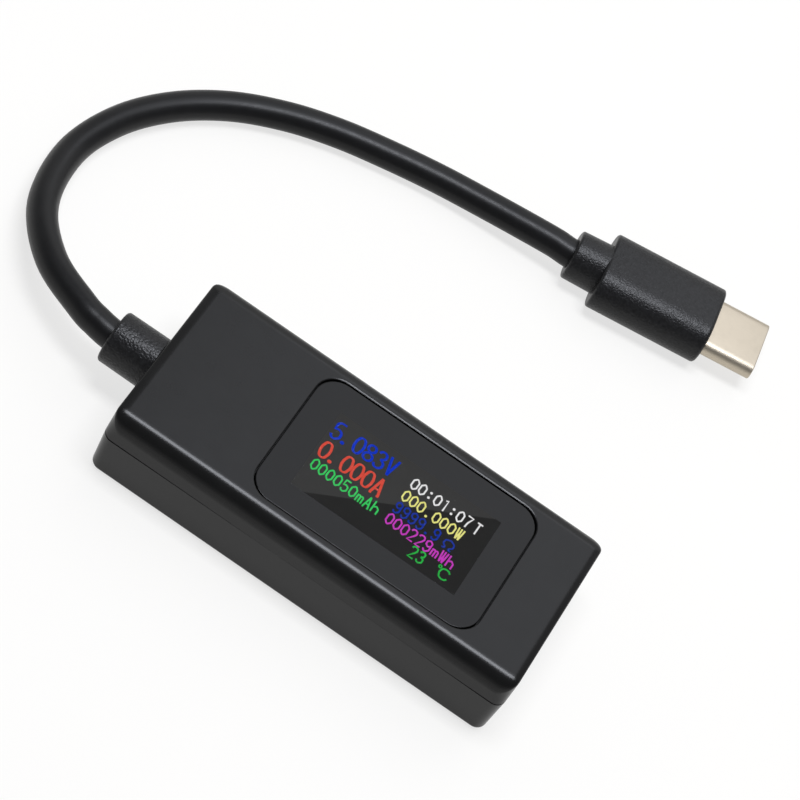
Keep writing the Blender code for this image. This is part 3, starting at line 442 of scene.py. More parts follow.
class StageLooks(PropertyGroup):
    """Camera, light and floor."""

    camera_place: FloatVectorProperty(
        name="Camera place",
        description="Where the camera stands",
        default=(3.955 * MM, -201.981 * MM, 307.208 * MM),
        subtype="TRANSLATION",
        precision=6,
    )
    camera_turn: FloatVectorProperty(
        name="Camera turn",
        description="How the camera is turned",
        default=(math.radians(31.0977), math.radians(-18.6927), math.radians(29.5339)),
        subtype="EULER",
    )
    lens: FloatProperty(
        name="Lens", description="Focal length in millimetres", default=146.72, subtype="DISTANCE_CAMERA"
    )
    top_light: FloatProperty(
        name="Top light", description="Power of the strip light overhead", default=1.9, unit="POWER"
    )
    back_light: FloatProperty(
        name="Back light", description="Power of the soft box behind", default=0.79, unit="POWER"
    )
    floor_colour: colour_property("Floor colour", "Colour of the floor in the light", (0.262, 0.254, 0.236))
    floor_glow: FloatProperty(
        name="Floor glow", description="How bright the floor is in shadow", default=0.72, min=0.0, max=1.0
    )


def outline(half_x, half_y, radius):
    """Points of a rectangle with round corners, each with its share of the long side's direction.

    Both long sides also have the points between which the housing's halves close up.
    """
    points = []
    for side_x, side_y, start in ((1, 1, 0), (-1, 1, 90), (-1, -1, 180), (1, -1, 270)):
        for step in range(CORNER_STEPS + 1):
            angle = math.radians(start + 90 * step / CORNER_STEPS)
            x = side_x * (half_x - radius) + radius * math.cos(angle)
            y = side_y * (half_y - radius) + radius * math.sin(angle)
            points.append((x, y, math.sin(angle) ** 2))
        if side_x == side_y:
            for stop in TIGHT_STRETCH[:: -side_x]:
                points.append((stop * (half_x - radius), side_y * half_y, 1.0))
    return points


def oblong(half_width, half_height):
    """An outline with round ends."""
    return outline(half_width, half_height, half_height)


def level(points, height, middle=(0.0, 0.0)):
    """An outline laid flat at a height."""
    return [Vector((middle[0] + x, middle[1] + y, height)) for x, y, _ in points]


def across(points, along, height=0.0):
    """An outline stood across the X axis."""
    return [Vector((along, x, height + y)) for x, y, _ in points]


def upright(points, along, middle_x, height):
    """An outline stood across the Y axis."""
    return [Vector((middle_x + x, along, height + y)) for x, y, _ in points]


def quarter(steps=EDGE_STEPS):
    """How far a round edge has run in and risen, in shares of its radius, from its side to its top."""
    turns = [math.pi / 2 * step / steps for step in range(steps + 1)]
    return [(1 - math.cos(turn), math.sin(turn)) for turn in turns]


def round_edge(section, radius, end, facing=1, steps=EDGE_STEPS):
    """Loops over a round edge, from the side to the face at the end. A section has an inset and a place."""
    return [section(radius * run, end - facing * radius * (1 - rise)) for run, rise in quarter(steps)]


def finish_mesh(bm, name):
    """Welds a bmesh, turns its faces out and stores it, smooth but for its sharp edges."""
    bmesh.ops.remove_doubles(bm, verts=bm.verts, dist=WELD)
    bmesh.ops.dissolve_degenerate(bm, edges=bm.edges, dist=WELD)
    bmesh.ops.recalc_face_normals(bm, faces=bm.faces)
    mesh = bpy.data.meshes.new(name)
    bm.to_mesh(mesh)
    bm.free()
    mesh.shade_smooth()
    mesh.set_sharp_from_angle(angle=SHARP)
    return mesh


def loft(name, loops, ring=False):
    """A closed skin over loops of points. A ring joins its last loop to its first, and others are capped."""
    bm = bmesh.new()
    rows = [[bm.verts.new(point) for point in loop] for loop in loops]
    pairs = list(zip(rows, rows[1:]))
    if ring:
        pairs.append((rows[-1], rows[0]))
    else:
        bm.faces.new(rows[0])
        bm.faces.new(rows[-1])
    for first, second in pairs:
        for index in range(len(first)):
            after = (index + 1) % len(first)
            bm.faces.new((first[index], first[after], second[after], second[index]))
    return finish_mesh(bm, name)


def baked(obj):
    """The mesh that an object's modifiers give."""
    graph = bpy.context.evaluated_depsgraph_get()
    return bpy.data.meshes.new_from_object(obj.evaluated_get(graph))


def combined(name, mesh, others, operation):
    """A mesh with others cut from it or joined to it."""
    collection = bpy.context.scene.collection
    base = bpy.data.objects.new(name, mesh)
    collection.objects.link(base)
    helpers = []
    for other in others:
        helper = bpy.data.objects.new(other.name, other)
        collection.objects.link(helper)
        helpers.append(helper)
        modifier = base.modifiers.new(helper.name, "BOOLEAN")
        modifier.operation = operation
        modifier.solver = "EXACT"
        modifier.object = helper
    result = baked(base)
    for obj in (base, *helpers):
        data = obj.data
        bpy.data.objects.remove(obj)
        bpy.data.meshes.remove(data)
    bm = bmesh.new()
    bm.from_mesh(result)
    bpy.data.meshes.remove(result)
    return finish_mesh(bm, name)


def add_piece(name, data, material=None, body="housing", nodes=()):
    """A finished piece of the meter, which rides on a body and stands for the nodes it replaces."""
    obj = bpy.data.objects.new(name, data)
    bpy.context.scene.collection.objects.link(obj)
    if material is not None:
        data.materials.clear()
        data.materials.append(material)
    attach(obj, body)
    if nodes:
        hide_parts(*nodes)
    return obj


def strip_tree():
    """Geometry nodes that sweep a flat strip along edges, and repeat it in a row."""
    name = "swept_strip"
    tree = bpy.data.node_groups.get(name)
    if tree:
        return tree
    tree = bpy.data.node_groups.new(name, "GeometryNodeTree")
    tree.interface.new_socket("Geometry", in_out="INPUT", socket_type="NodeSocketGeometry")
    for title, kind in (
        ("Width", "NodeSocketFloat"),
        ("Thickness", "NodeSocketFloat"),
        ("Level share", "NodeSocketFloat"),
        ("Count", "NodeSocketInt"),
        ("Step", "NodeSocketVector"),
        ("Material", "NodeSocketMaterial"),
    ):
        tree.interface.new_socket(title, in_out="INPUT", socket_type=kind)
    tree.interface.new_socket("Geometry", in_out="OUTPUT", socket_type="NodeSocketGeometry")
    given = tree.nodes.new("NodeGroupInput").outputs
    path = tree.nodes.new("GeometryNodeMeshToCurve")
    rounded = tree.nodes.new("GeometryNodeFilletCurve")
    rounded.mode = "POLY"
    rounded.inputs["Count"].default_value = FILLET_STEPS
    rounded.inputs["Limit Radius"].default_value = True
    corner = tree.nodes.new("GeometryNodeInputNamedAttribute")
    corner.data_type = "FLOAT"
    corner.inputs["Name"].default_value = "corner"
    tangent = tree.nodes.new("GeometryNodeInputTangent")
    split = tree.nodes.new("ShaderNodeSeparateXYZ")
    steep = tree.nodes.new("ShaderNodeMath")
    steep.operation = "ABSOLUTE"
    share = tree.nodes.new("ShaderNodeMapRange")
    facing = tree.nodes.new("GeometryNodeSetCurveNormal")
    facing.mode = "Z_UP"
    section = tree.nodes.new("GeometryNodeCurvePrimitiveQuadrilateral")
    sweep = tree.nodes.new("GeometryNodeCurveToMesh")
    sweep.inputs["Fill Caps"].default_value = True
    row = tree.nodes.new("GeometryNodeMeshLine")
    repeat = tree.nodes.new("GeometryNodeInstanceOnPoints")
    real = tree.nodes.new("GeometryNodeRealizeInstances")
    painted = tree.nodes.new("GeometryNodeSetMaterial")
    result = tree.nodes.new("NodeGroupOutput")
    for source, target in (
        (given["Geometry"], path.inputs["Mesh"]),
        (path.outputs["Curve"], rounded.inputs["Curve"]),
        (corner.outputs["Attribute"], rounded.inputs["Radius"]),
        (tangent.outputs["Tangent"], split.inputs["Vector"]),
        (split.outputs["Y"], steep.inputs[0]),
        (steep.outputs["Value"], share.inputs["Value"]),
        (given["Level share"], share.inputs["To Min"]),
        (share.outputs["Result"], sweep.inputs["Scale"]),
        (rounded.outputs["Curve"], facing.inputs["Curve"]),
        (facing.outputs["Curve"], sweep.inputs["Curve"]),
        (given["Width"], section.inputs["Width"]),
        (given["Thickness"], section.inputs["Height"]),
        (section.outputs["Curve"], sweep.inputs["Profile Curve"]),
        (given["Count"], row.inputs["Count"]),
        (given["Step"], row.inputs["Offset"]),
        (row.outputs["Mesh"], repeat.inputs["Points"]),
        (sweep.outputs["Mesh"], repeat.inputs["Instance"]),
        (repeat.outputs["Instances"], real.inputs["Geometry"]),
        (real.outputs["Geometry"], painted.inputs["Geometry"]),
        (given["Material"], painted.inputs["Material"]),
        (painted.outputs["Geometry"], result.inputs["Geometry"]),
    ):
        tree.links.new(source, target)
    return tree


def swept_strips(name, paths, material, width, thickness, corner=0.0, level_share=1.0, count=1, pitch=0.0):
    """A mesh of strips along paths, each a list of points and whether it is closed, repeated along Y."""
    values = {
        "Width": width,
        "Thickness": thickness,
        "Level share": level_share,
        "Count": count,
        "Step": (0.0, pitch, 0.0),
        "Material": material,
    }
    bm = bmesh.new()
    layer = bm.verts.layers.float.new("corner")
    for points, closed in paths:
        verts = [bm.verts.new(point) for point in points]
        for first, second in zip(verts, verts[1:]):
            bm.edges.new((first, second))
        if closed:
            bm.edges.new((verts[-1], verts[0]))
        for vert in verts:
            sides = [edge.other_vert(vert).co - vert.co for edge in vert.link_edges]
            wide = len(sides) == 2 and sides[0].angle(sides[1]) > ACUTE
            vert[layer] = corner if wide else 0.0
    lines = bpy.data.meshes.new(name)
    bm.to_mesh(lines)
    bm.free()
    tree = strip_tree()
    obj = bpy.data.objects.new(name, lines)
    modifier = obj.modifiers.new("strips", "NODES")
    modifier.node_group = tree
    for item in tree.interface.items_tree:
        if item.in_out == "INPUT" and item.name in values:
            modifier[item.identifier] = values[item.name]
    bpy.context.scene.collection.objects.link(obj)
    mesh = baked(obj)
    bpy.data.objects.remove(obj)
    bpy.data.meshes.remove(lines)
    mesh.name = name
    return mesh


def add_node(tree, kind, **values):
    """A node of a tree, with its settings."""
    node = tree.nodes.new(kind)
    for key, value in values.items():
        setattr(node, key, value)
    return node


def new_finish(name, **sockets):
    """A material with a Principled shader, and its tree. Values that are the same all over are set here."""
    material = bpy.data.materials.new(name)
    material.use_nodes = True
    shader = material.node_tree.nodes["Principled BSDF"]
    for socket, value in sockets.items():
        title = socket.replace("_", " ")
        shader.inputs[title].default_value = (*value, 1.0) if hasattr(value, "__len__") else value
    return material, material.node_tree, shader


def noise(tree, size, detail=2.0, stretch=(1.0, 1.0, 1.0)):
    """Even noise on the object's own coordinates, with lumps of about the given size."""
    place = add_node(tree, "ShaderNodeTexCoord")
    mapping = add_node(tree, "ShaderNodeMapping")
    mapping.inputs["Scale"].default_value = stretch
    texture = add_node(tree, "ShaderNodeTexNoise")
    texture.inputs["Scale"].default_value = 1.0 / size
    texture.inputs["Detail"].default_value = detail
    tree.links.new(place.outputs["Object"], mapping.inputs["Vector"])
    tree.links.new(mapping.outputs["Vector"], texture.inputs["Vector"])
    return texture.outputs["Fac"]


def spread(tree, factor, low, high, start=0.3, end=0.7):
    """A factor stretched from one range to another."""
    node = add_node(tree, "ShaderNodeMapRange")
    node.inputs["From Min"].default_value = start
    node.inputs["From Max"].default_value = end
    node.inputs["To Min"].default_value = low
    node.inputs["To Max"].default_value = high
    tree.links.new(factor, node.inputs["Value"])
    return node.outputs["Result"]


def blend(tree, factor, first, second):
    """A colour between two others."""
    node = add_node(tree, "ShaderNodeMix", data_type="RGBA")
    node.inputs[6].default_value = (*first, 1.0)
    node.inputs[7].default_value = (*second, 1.0)
    tree.links.new(factor, node.inputs["Factor"])
    return node.outputs[2]


def shades(colour, share):
    """A colour made a little darker and a little lighter."""
    return [tuple(value * scale for value in colour) for scale in (1.0 - share, 1.0 + share)]


def add_bump(tree, shader, height, depth):
    """Raises a surface by a factor, to the given depth."""
    bump = add_node(tree, "ShaderNodeBump")
    bump.inputs["Strength"].default_value = 1.0
    bump.inputs["Distance"].default_value = depth
    tree.links.new(height, bump.inputs["Height"])
    tree.links.new(bump.outputs["Normal"], shader.inputs["Normal"])


def moulded(name, colour, roughness, grain, depth, specular=0.5, variation=0.1, lump=2.5 * MM, detail=3.0):
    """Moulded plastic: mottled a little in colour and gloss, with a grain from its tool."""
    material, tree, shader = new_finish(name, Specular_IOR_Level=specular)
    mottle = spread(tree, noise(tree, lump), 0.0, 1.0)
    tree.links.new(blend(tree, mottle, *shades(colour, variation)), shader.inputs["Base Color"])
    fine = noise(tree, grain, detail)
    tree.links.new(spread(tree, fine, roughness * 0.9, roughness * 1.1), shader.inputs["Roughness"])
    add_bump(tree, shader, fine, depth)
    return material


def plated(name, colour, roughness, stretch):
    """Plated sheet metal with faint drawing marks and a few dull spots."""
    material, tree, shader = new_finish(name, Metallic=1.0)
    spots = spread(tree, noise(tree, SPOT_SIZE), 0.0, 1.0, start=0.45, end=0.75)
    dull, bright = shades(colour, SPOT_SHADE)
    tree.links.new(blend(tree, spots, bright, dull), shader.inputs["Base Color"])
    marks = noise(tree, MARK_SIZE, detail=3.0, stretch=stretch)
    tree.links.new(spread(tree, marks, roughness * 0.97, roughness * 1.04), shader.inputs["Roughness"])
    add_bump(tree, shader, marks, MARK_DEPTH)
    return material


def glowing(name, colour, strength):
    """Lit part of the display: its own colour, a little uneven from pixel to pixel."""
    material, tree, shader = new_finish(
        name, Base_Color=UNLIT, Roughness=0.4, Specular_IOR_Level=0.1, Emission_Strength=strength
    )
    uneven = spread(tree, noise(tree, 2 * PIXEL, detail=1.0), 0.0, 1.0)
    tree.links.new(blend(tree, uneven, *shades(colour, share=0.07)), shader.inputs["Emission Color"])
    return material


class METER_OT_stage(Operator):
    """Camera at the photograph's angle, soft light and a pale floor"""

    bl_idname = "meter.stage"
    bl_label = "Stage"

    def execute(self, context):
        looks = context.scene.meter_stage
        context.scene.view_settings.view_transform = "Standard"
        self.add_camera(context, looks)
        self.add_lamp(context, "strip_light", looks.top_light, *STRIP_LIGHT)
        self.add_lamp(context, "soft_box", looks.back_light, *SOFT_BOX)
        self.paint_world(context)
        self.add_floor(looks)
        return {"FINISHED"}

    def add_camera(self, context, looks):
        """The camera, where its properties put it."""
        data = bpy.data.cameras.new("camera")
        data.lens = looks.lens
        data.sensor_width = 36.0
        data.clip_start = 0.01
        camera = bpy.data.objects.new("camera", data)
        camera.location = looks.camera_place
        camera.rotation_euler = looks.camera_turn
        context.scene.collection.objects.link(camera)
        context.scene.camera = camera

    def add_lamp(self, context, name, power, place, size):
        """A soft box that faces straight down."""
        data = bpy.data.lights.new(name, "AREA")
        data.shape = "RECTANGLE"
        data.size, data.size_y = size
        data.energy = power
        data.color = LAMP_COLOUR
        lamp = bpy.data.objects.new(name, data)
        lamp.location = place
        context.scene.collection.objects.link(lamp)

    def paint_world(self, context):
        """Pale behind the object and along the horizon, and dark high up on the camera's side."""
        world = bpy.data.worlds.new("studio")
        world.use_nodes = True
        context.scene.world = world
        tree = world.node_tree
        place = add_node(tree, "ShaderNodeTexCoord")
        split = add_node(tree, "ShaderNodeSeparateXYZ")
        tree.links.new(place.outputs["Generated"], split.inputs["Vector"])
        near = spread(tree, split.outputs["Y"], low=0.1, high=0.3, start=-0.3, end=0.45)
        far = spread(tree, split.outputs["Y"], low=0.0, high=0.6, start=0.58, end=0.78)
        side = add_node(tree, "ShaderNodeMath", operation="ADD")
        tree.links.new(near, side.inputs[0])
        tree.links.new(far, side.inputs[1])
        horizon = spread(tree, split.outputs["Z"], low=1.0, high=0.0, start=0.1, end=0.4)
        grey = add_node(tree, "ShaderNodeMix", data_type="FLOAT")
        tree.links.new(horizon, grey.inputs["Factor"])
        tree.links.new(side.outputs["Value"], grey.inputs["A"])
        grey.inputs["B"].default_value = HORIZON_GREY
        background = tree.nodes["Background"]
        tree.links.new(grey.outputs["Result"], background.inputs["Color"])

    def add_floor(self, looks):
        """A pale floor that looks white where it is seen or mirrored, and keeps the object's shadow."""
        bm = bmesh.new()
        bmesh.ops.create_circle(bm, cap_ends=True, segments=96, radius=FLOOR_RADIUS)
        bmesh.ops.translate(bm, verts=bm.verts, vec=(0.0, 0.0, CAD_BOX[0].z - FLOOR_DROP))
        floor = bpy.data.objects.new("floor", finish_mesh(bm, "floor"))
        bpy.context.scene.collection.objects.link(floor)
        material, tree, shader = new_finish("floor_paper", Roughness=0.9, Specular_IOR_Level=0.0)
        tone = spread(tree, noise(tree, size=40 * MM), 0.0, 1.0)
        tones = shades(looks.floor_colour, share=0.01)
        tree.links.new(blend(tree, tone, *tones), shader.inputs["Base Color"])
        path = add_node(tree, "ShaderNodeLightPath")
        seen = add_node(tree, "ShaderNodeMath", operation="ADD")
        tree.links.new(path.outputs["Is Camera Ray"], seen.inputs[0])
        tree.links.new(path.outputs["Is Transmission Ray"], seen.inputs[1])
        shown = add_node(tree, "ShaderNodeMath", operation="MULTIPLY_ADD", use_clamp=True)
        tree.links.new(path.outputs["Is Glossy Ray"], shown.inputs[0])
        shown.inputs[1].default_value = FLOOR_MIRRORED
        tree.links.new(seen.outputs["Value"], shown.inputs[2])
        glow = add_node(tree, "ShaderNodeMath", operation="MULTIPLY")
        glow.inputs[1].default_value = looks.floor_glow
        tree.links.new(shown.outputs["Value"], glow.inputs[0])
        shader.inputs["Emission Color"].default_value = (1.0, 1.0, 1.0, 1.0)
        tree.links.new(glow.outputs["Value"], shader.inputs["Emission Strength"])
        floor.data.materials.append(material)


def cable_path():
    """Points along the cable's middle, from inside its bush to inside its plug."""
    start = Vector((CABLE_START_X, 0.0, AXIS_Z))
    end = PLUG_FRAME @ Vector((-GRIP_LENGTH - COLLAR_LENGTH - FIT, 0.0, 0.0))
    knots = [start + Vector((FIT + CABLE_REACH, 0.0, 0.0)), start]
    for along, sideways, from_housing, from_plug in CABLE_ROUTE:
        rise = from_housing * (start.z - CABLE_HEIGHT) + from_plug * (end.z - CABLE_HEIGHT)
        knots.append(Vector((-END_X + along * MM, sideways * MM, CABLE_HEIGHT + rise)))
    knots += [end, PLUG_FRAME @ Vector((-GRIP_LENGTH - COLLAR_LENGTH + CABLE_REACH, 0.0, 0.0))]
    path = []
    for index in range(len(knots) - 1):
        before = knots[max(index - 1, 0)]
        first = knots[index]
        second = knots[index + 1]
        after = knots[min(index + 2, len(knots) - 1)]
        # Handles that make each span run smoothly into the next, as in a Catmull-Rom spline
        lead = first + (second - before) / 6
        trail = second - (after - first) / 6
        path += interpolate_bezier(first, lead, trail, second, CABLE_STEPS + 1)[:-1]
    return path + [knots[-1]]


class METER_OT_cable(Operator):
    """Cable with its smooth jacket, from the bush to the plug"""

    bl_idname = "meter.cable"
    bl_label = "Cable"

    def execute(self, context):
        looks = context.scene.meter_cable
        path = cable_path()
        curve = bpy.data.curves.new("cable", "CURVE")
        curve.dimensions = "3D"
        curve.bevel_depth = looks.diameter / 2
        curve.bevel_resolution = 7
        curve.use_fill_caps = True
        spline = curve.splines.new("POLY")
        spline.points.add(len(path) - 1)
        for point, place in zip(spline.points, path):
            point.co = (*place, 1.0)
        spline.use_smooth = True
        jacket = moulded(
            "smooth_jacket", looks.jacket, roughness=0.36, grain=0.5 * MM, depth=0.002 * MM, specular=GLOSS
        )
        add_piece("cable", curve, jacket, nodes=("cord",))
        return {"FINISHED"}


def drafted(points, heights, parting):
    """An outline at its own heights, drawn in as a moulding is away from its parting line."""
    loop = []
    for (x, y, _), height in zip(points, heights):
        step = DRAFT * abs(height - parting)
        loop.append(Vector((x - math.copysign(step, x), y - math.copysign(step, y), height)))
    return loop


def parting_loop(points, height, step):
    """An outline at a height, raised or lowered by a step that dies away on the near side."""
    low, high = (END_X * stop for stop in TIGHT_STRETCH)
    loop = []
    for x, y, _ in points:
        share = 1.0
        if y < 0:
            share = max((low - x) / (low + END_X), (x - high) / (END_X - high), PARTING_CLOSED)
        loop.append(Vector((x, y, height + step * share)))
    return loop


def wall_openings():
    """Cutters for the openings that both halves of the housing share: cable, socket and key."""
    hole = oblong(NECK_RADIUS + FIT, NECK_RADIUS + FIT)
    relief = loft(
        "cable_opening", [across(hole, -END_X - WALL, AXIS_Z), across(hole, -END_X + 2 * WALL, AXIS_Z)]
    )
    half_width = SOCKET_HALF_WIDTH + FIT
    half_height = SOCKET_HALF_HEIGHT + FIT
    mouth = oblong(half_width, half_height)
    flare = oblong(half_width + 2 * MOUTH_CHAMFER, half_height + 2 * MOUTH_CHAMFER)
    socket = loft(
        "socket_opening",
        [
            across(mouth, END_X - 2 * WALL, AXIS_Z),
            across(mouth, END_X - MOUTH_CHAMFER, AXIS_Z),
            across(flare, END_X + MOUTH_CHAMFER, AXIS_Z),
        ],
    )
    length = KEY_HALF_LENGTH + KEY_CLEARANCE
    height = KEY_HALF_HEIGHT + KEY_CLEARANCE
    slot = oblong(length, height)
    wide = oblong(length + 2 * KEY_CHAMFER, height + 2 * KEY_CHAMFER)
    key = loft(
        "key_opening",
        [
            upright(slot, SIDE_Y - 2 * WALL, KEY_X, AXIS_Z),
            upright(slot, SIDE_Y - KEY_CHAMFER, KEY_X, AXIS_Z),
            upright(wide, SIDE_Y + KEY_CHAMFER, KEY_X, AXIS_Z),
        ],
    )
    return [relief, socket, key]


def inset_outline(inset):
    """An outline inside the housing's walls."""
    return outline(END_X - inset, SIDE_Y - inset, CAVITY_CORNER)


class METER_OT_housing(Operator):
    """Two halves of the moulded housing"""

    bl_idname = "meter.housing"
    bl_label = "Housing"

    def execute(self, context):
        looks = context.scene.meter_housing
        plastic = moulded(
            "satin_housing", looks.colour, roughness=0.22, grain=0.14 * MM, depth=0.0014 * MM, specular=GLOSS
        )
        top = combined("housing_top", self.top_mesh(looks), wall_openings(), "DIFFERENCE")
        add_piece("housing_top", top, plastic, nodes=("upper_shell",))
        base = combined("housing_base", self.base_mesh(looks), wall_openings(), "DIFFERENCE")
        base = combined("housing_base", base, self.posts(), "UNION")
        add_piece("housing_base", base, plastic, nodes=("lower_shell",))
        return {"FINISHED"}

    def top_mesh(self, looks):
        """Upper half, as one skin that runs from the panel's opening over the outside and back."""
        middle = (WINDOW_X, 0.0)
        opening = outline(GLASS_HALF_X + FIT, GLASS_HALF_Y + FIT, GLASS_CORNER)
        half_x = WINDOW_HALF_X + WINDOW_GAP
        half_y = WINDOW_HALF_Y + WINDOW_GAP
        corner = WINDOW_CORNER + WINDOW_GAP - CORNER_SLACK
        radius = looks.rim / (math.sin(RIM_FOOT) - math.sin(RIM_HEAD))
        foot_z = TOP_Z - radius * (math.cos(RIM_HEAD) - math.cos(RIM_FOOT))
        loops = [
            level(opening, LEDGE_BOTTOM, middle),
            level(opening, LEDGE_TOP, middle),
            level(outline(half_x, half_y, corner), LEDGE_TOP, middle),
            level(outline(half_x, half_y, corner), foot_z - SUPPORT, middle),
        ]
        for step in range(EDGE_STEPS + 1):
            tilt = RIM_FOOT + (RIM_HEAD - RIM_FOOT) * step / EDGE_STEPS
            run = radius * (math.sin(RIM_FOOT) - math.sin(tilt))
            rim = outline(half_x + run * RIM_ENDS, half_y + run, corner + run)
            loops.append(level(rim, foot_z + radius * (math.cos(tilt) - math.cos(RIM_FOOT)), middle))
        run += SUPPORT / 2
        loops.append(level(outline(half_x + run * RIM_ENDS, half_y + run, corner + run), TOP_Z, middle))
        loops += self.edge_loops(looks)
        wall = outline(END_X, SIDE_Y, looks.corner)
        loops.append(parting_loop(wall, PARTING_TOP, PARTING_EDGE))
        chamfer = outline(END_X - PARTING_EDGE, SIDE_Y - PARTING_EDGE, looks.corner)
        loops.append(level(chamfer, PARTING_TOP))
        rabbet = inset_outline(WALL - LIP_THICKNESS - PARTING_GAP)
        rabbet_top = PARTING_TOP - PARTING_GAP / 2 + LIP_HEIGHT + FIT
        cavity = inset_outline(WALL)
        ledge = outline(half_x + LEDGE_RIM, SIDE_Y - WALL - SEAT, CAVITY_CORNER)
        loops += [
            level(rabbet, PARTING_TOP),
            level(rabbet, rabbet_top),
            level(cavity, rabbet_top),
            level(cavity, TOP_Z - WALL),
            level(ledge, TOP_Z - WALL, middle),
            level(ledge, LEDGE_BOTTOM, middle),
        ]
        return loft("housing_top", loops, ring=True)

    def edge_loops(self, looks):
        """Loops from the flat top over its rounded edges to the side walls."""
        loops = []
        for run, rise in reversed(quarter(LONG_EDGE_STEPS)):
            half_x = END_X - looks.end_edge * run
            half_y = SIDE_Y - looks.long_edge * run
            points = outline(half_x, half_y, FLAT_CORNER + (looks.top_corner - FLAT_CORNER) * (1 - run))
            drop = 1 - rise
            heights = []
            for _, _, share in points:
                depth = looks.end_drop + (looks.long_edge - looks.end_drop) * share
                heights.append(TOP_Z - depth * drop)
            if not loops:
                inner = outline(half_x - SUPPORT, half_y - SUPPORT, FLAT_CORNER)
                loops.append(drafted(inner, heights, PARTING_TOP))
            loops.append(drafted(points, heights, PARTING_TOP))
        lower = [height - SUPPORT for height in heights]
        loops.append(drafted(points, lower, PARTING_TOP))
        return loops

    def base_mesh(self, looks):
        """Lower half, as one skin from its underside over the outside and the lip to its floor."""
        inner_corner = looks.corner - looks.base_edge
        loops = []
        for run, rise in reversed(quarter(steps=6)):
            step = looks.base_edge * run
            points = outline(END_X - step, SIDE_Y - step, looks.corner - step)
            height = looks.base_edge * (1 - rise)
            if not loops:
                inner = outline(END_X - step - SUPPORT, SIDE_Y - step - SUPPORT, inner_corner)
                loops.append(drafted(inner, [height] * len(inner), PARTING_BOTTOM))
            loops.append(drafted(points, [height] * len(points), PARTING_BOTTOM))
        wall = outline(END_X, SIDE_Y, looks.corner)
        loops.append(drafted(wall, [looks.base_edge + SUPPORT] * len(wall), PARTING_BOTTOM))
        chamfer = outline(END_X - PARTING_EDGE, SIDE_Y - PARTING_EDGE, looks.corner)
        lip = inset_outline(WALL - LIP_THICKNESS)
        cavity = inset_outline(WALL)
        lip_top = PARTING_TOP - PARTING_GAP / 2 + LIP_HEIGHT
        loops += [
            parting_loop(wall, PARTING_TOP, -PARTING_GAP - PARTING_EDGE),
            parting_loop(chamfer, PARTING_TOP, -PARTING_GAP),
            parting_loop(lip, PARTING_TOP, -PARTING_GAP),
            level(lip, lip_top),
            level(cavity, lip_top),
            level(cavity, WALL),
        ]
        return loft("housing_base", loops)

    def posts(self):
        """Four posts that carry the board."""
        top = BOARD_LOW.z - FIT
        foot = oblong(POST_RADIUS, POST_RADIUS)
        posts = []
        for side_x in (BOARD_LOW.x + POST_INSET, BOARD_HIGH.x - POST_INSET):
            for side_y in (BOARD_LOW.y + POST_INSET, BOARD_HIGH.y - POST_INSET):
                loops = [level(foot, WALL / 2, (side_x, side_y)), level(foot, top, (side_x, side_y))]
                posts.append(loft("board_post", loops))
        return posts


class METER_OT_window(Operator):
    """Window: a clear plate with a dark border"""

    bl_idname = "meter.window"
    bl_label = "Window"

    def execute(self, context):
        looks = context.scene.meter_display
        size = (CLEAR_HIGH - CLEAR_LOW) / 2
        place = (CLEAR_HIGH + CLEAR_LOW) / 2
        clear = outline(size.x, size.y, CLEAR_CORNER)
        under = outline(GLASS_HALF_X, GLASS_HALF_Y, CLEAR_CORNER)
        loops = [level(under, WINDOW_LOW.z, (WINDOW_X, WINDOW_SHIFT)), self.section(0.0, WINDOW_LOW.z)]
        loops += round_edge(self.section, WINDOW_EDGE, WINDOW_HIGH.z, steps=4)
        loops.append(self.section(WINDOW_EDGE + SUPPORT, WINDOW_HIGH.z))
        loops.append(level(clear, WINDOW_HIGH.z, place))
        plate = loft("window_plate", loops)
        ink = moulded(
            "window_ink", looks.border, roughness=0.2, grain=0.6 * MM, depth=0.0003 * MM, specular=GLOSS
        )
        add_piece("window_plate", plate, ink, nodes=("display_window",))
        plate.materials.append(self.clear_finish())
        # The loft's two caps, with their many corners, are the clear part
        for face in plate.polygons:
            face.material_index = 1 if face.loop_total > 4 else 0
        return {"FINISHED"}

    def section(self, inset, height):
        """The plate's outline at a height, drawn in by an inset."""
        points = outline(WINDOW_HALF_X - inset, WINDOW_HALF_Y - inset, WINDOW_CORNER - inset)
        return level(points, height, (WINDOW_X, WINDOW_SHIFT))

    def clear_finish(self):
        """Clear plastic with a coating that keeps reflections off it but at low angles."""
        material, tree, shader = new_finish("window_clear")
        out = shader.outputs["BSDF"].links[0].to_socket
        tree.nodes.remove(shader)
        bent = add_node(tree, "ShaderNodeBsdfRefraction")
        bent.inputs["IOR"].default_value = ACRYLIC_IOR
        bent.inputs["Roughness"].default_value = 0.0
        tone = spread(tree, noise(tree, size=5 * MM), 0.0, 1.0)
        tree.links.new(blend(tree, tone, *shades(ACRYLIC_TINT, share=0.01)), bent.inputs["Color"])
        mirror = add_node(tree, "ShaderNodeBsdfAnisotropic")
        mirror.inputs["Roughness"].default_value = 0.08
        facing = add_node(tree, "ShaderNodeLayerWeight")
        mixed = add_node(tree, "ShaderNodeMixShader")
        mirrored = spread(tree, facing.outputs["Facing"], low=0.0, high=0.4, start=0.3, end=1.0)
        tree.links.new(mirrored, mixed.inputs[0])
        tree.links.new(bent.outputs["BSDF"], mixed.inputs[1])
        tree.links.new(mirror.outputs["BSDF"], mixed.inputs[2])
        tree.links.new(mixed.outputs["Shader"], out)
        return material


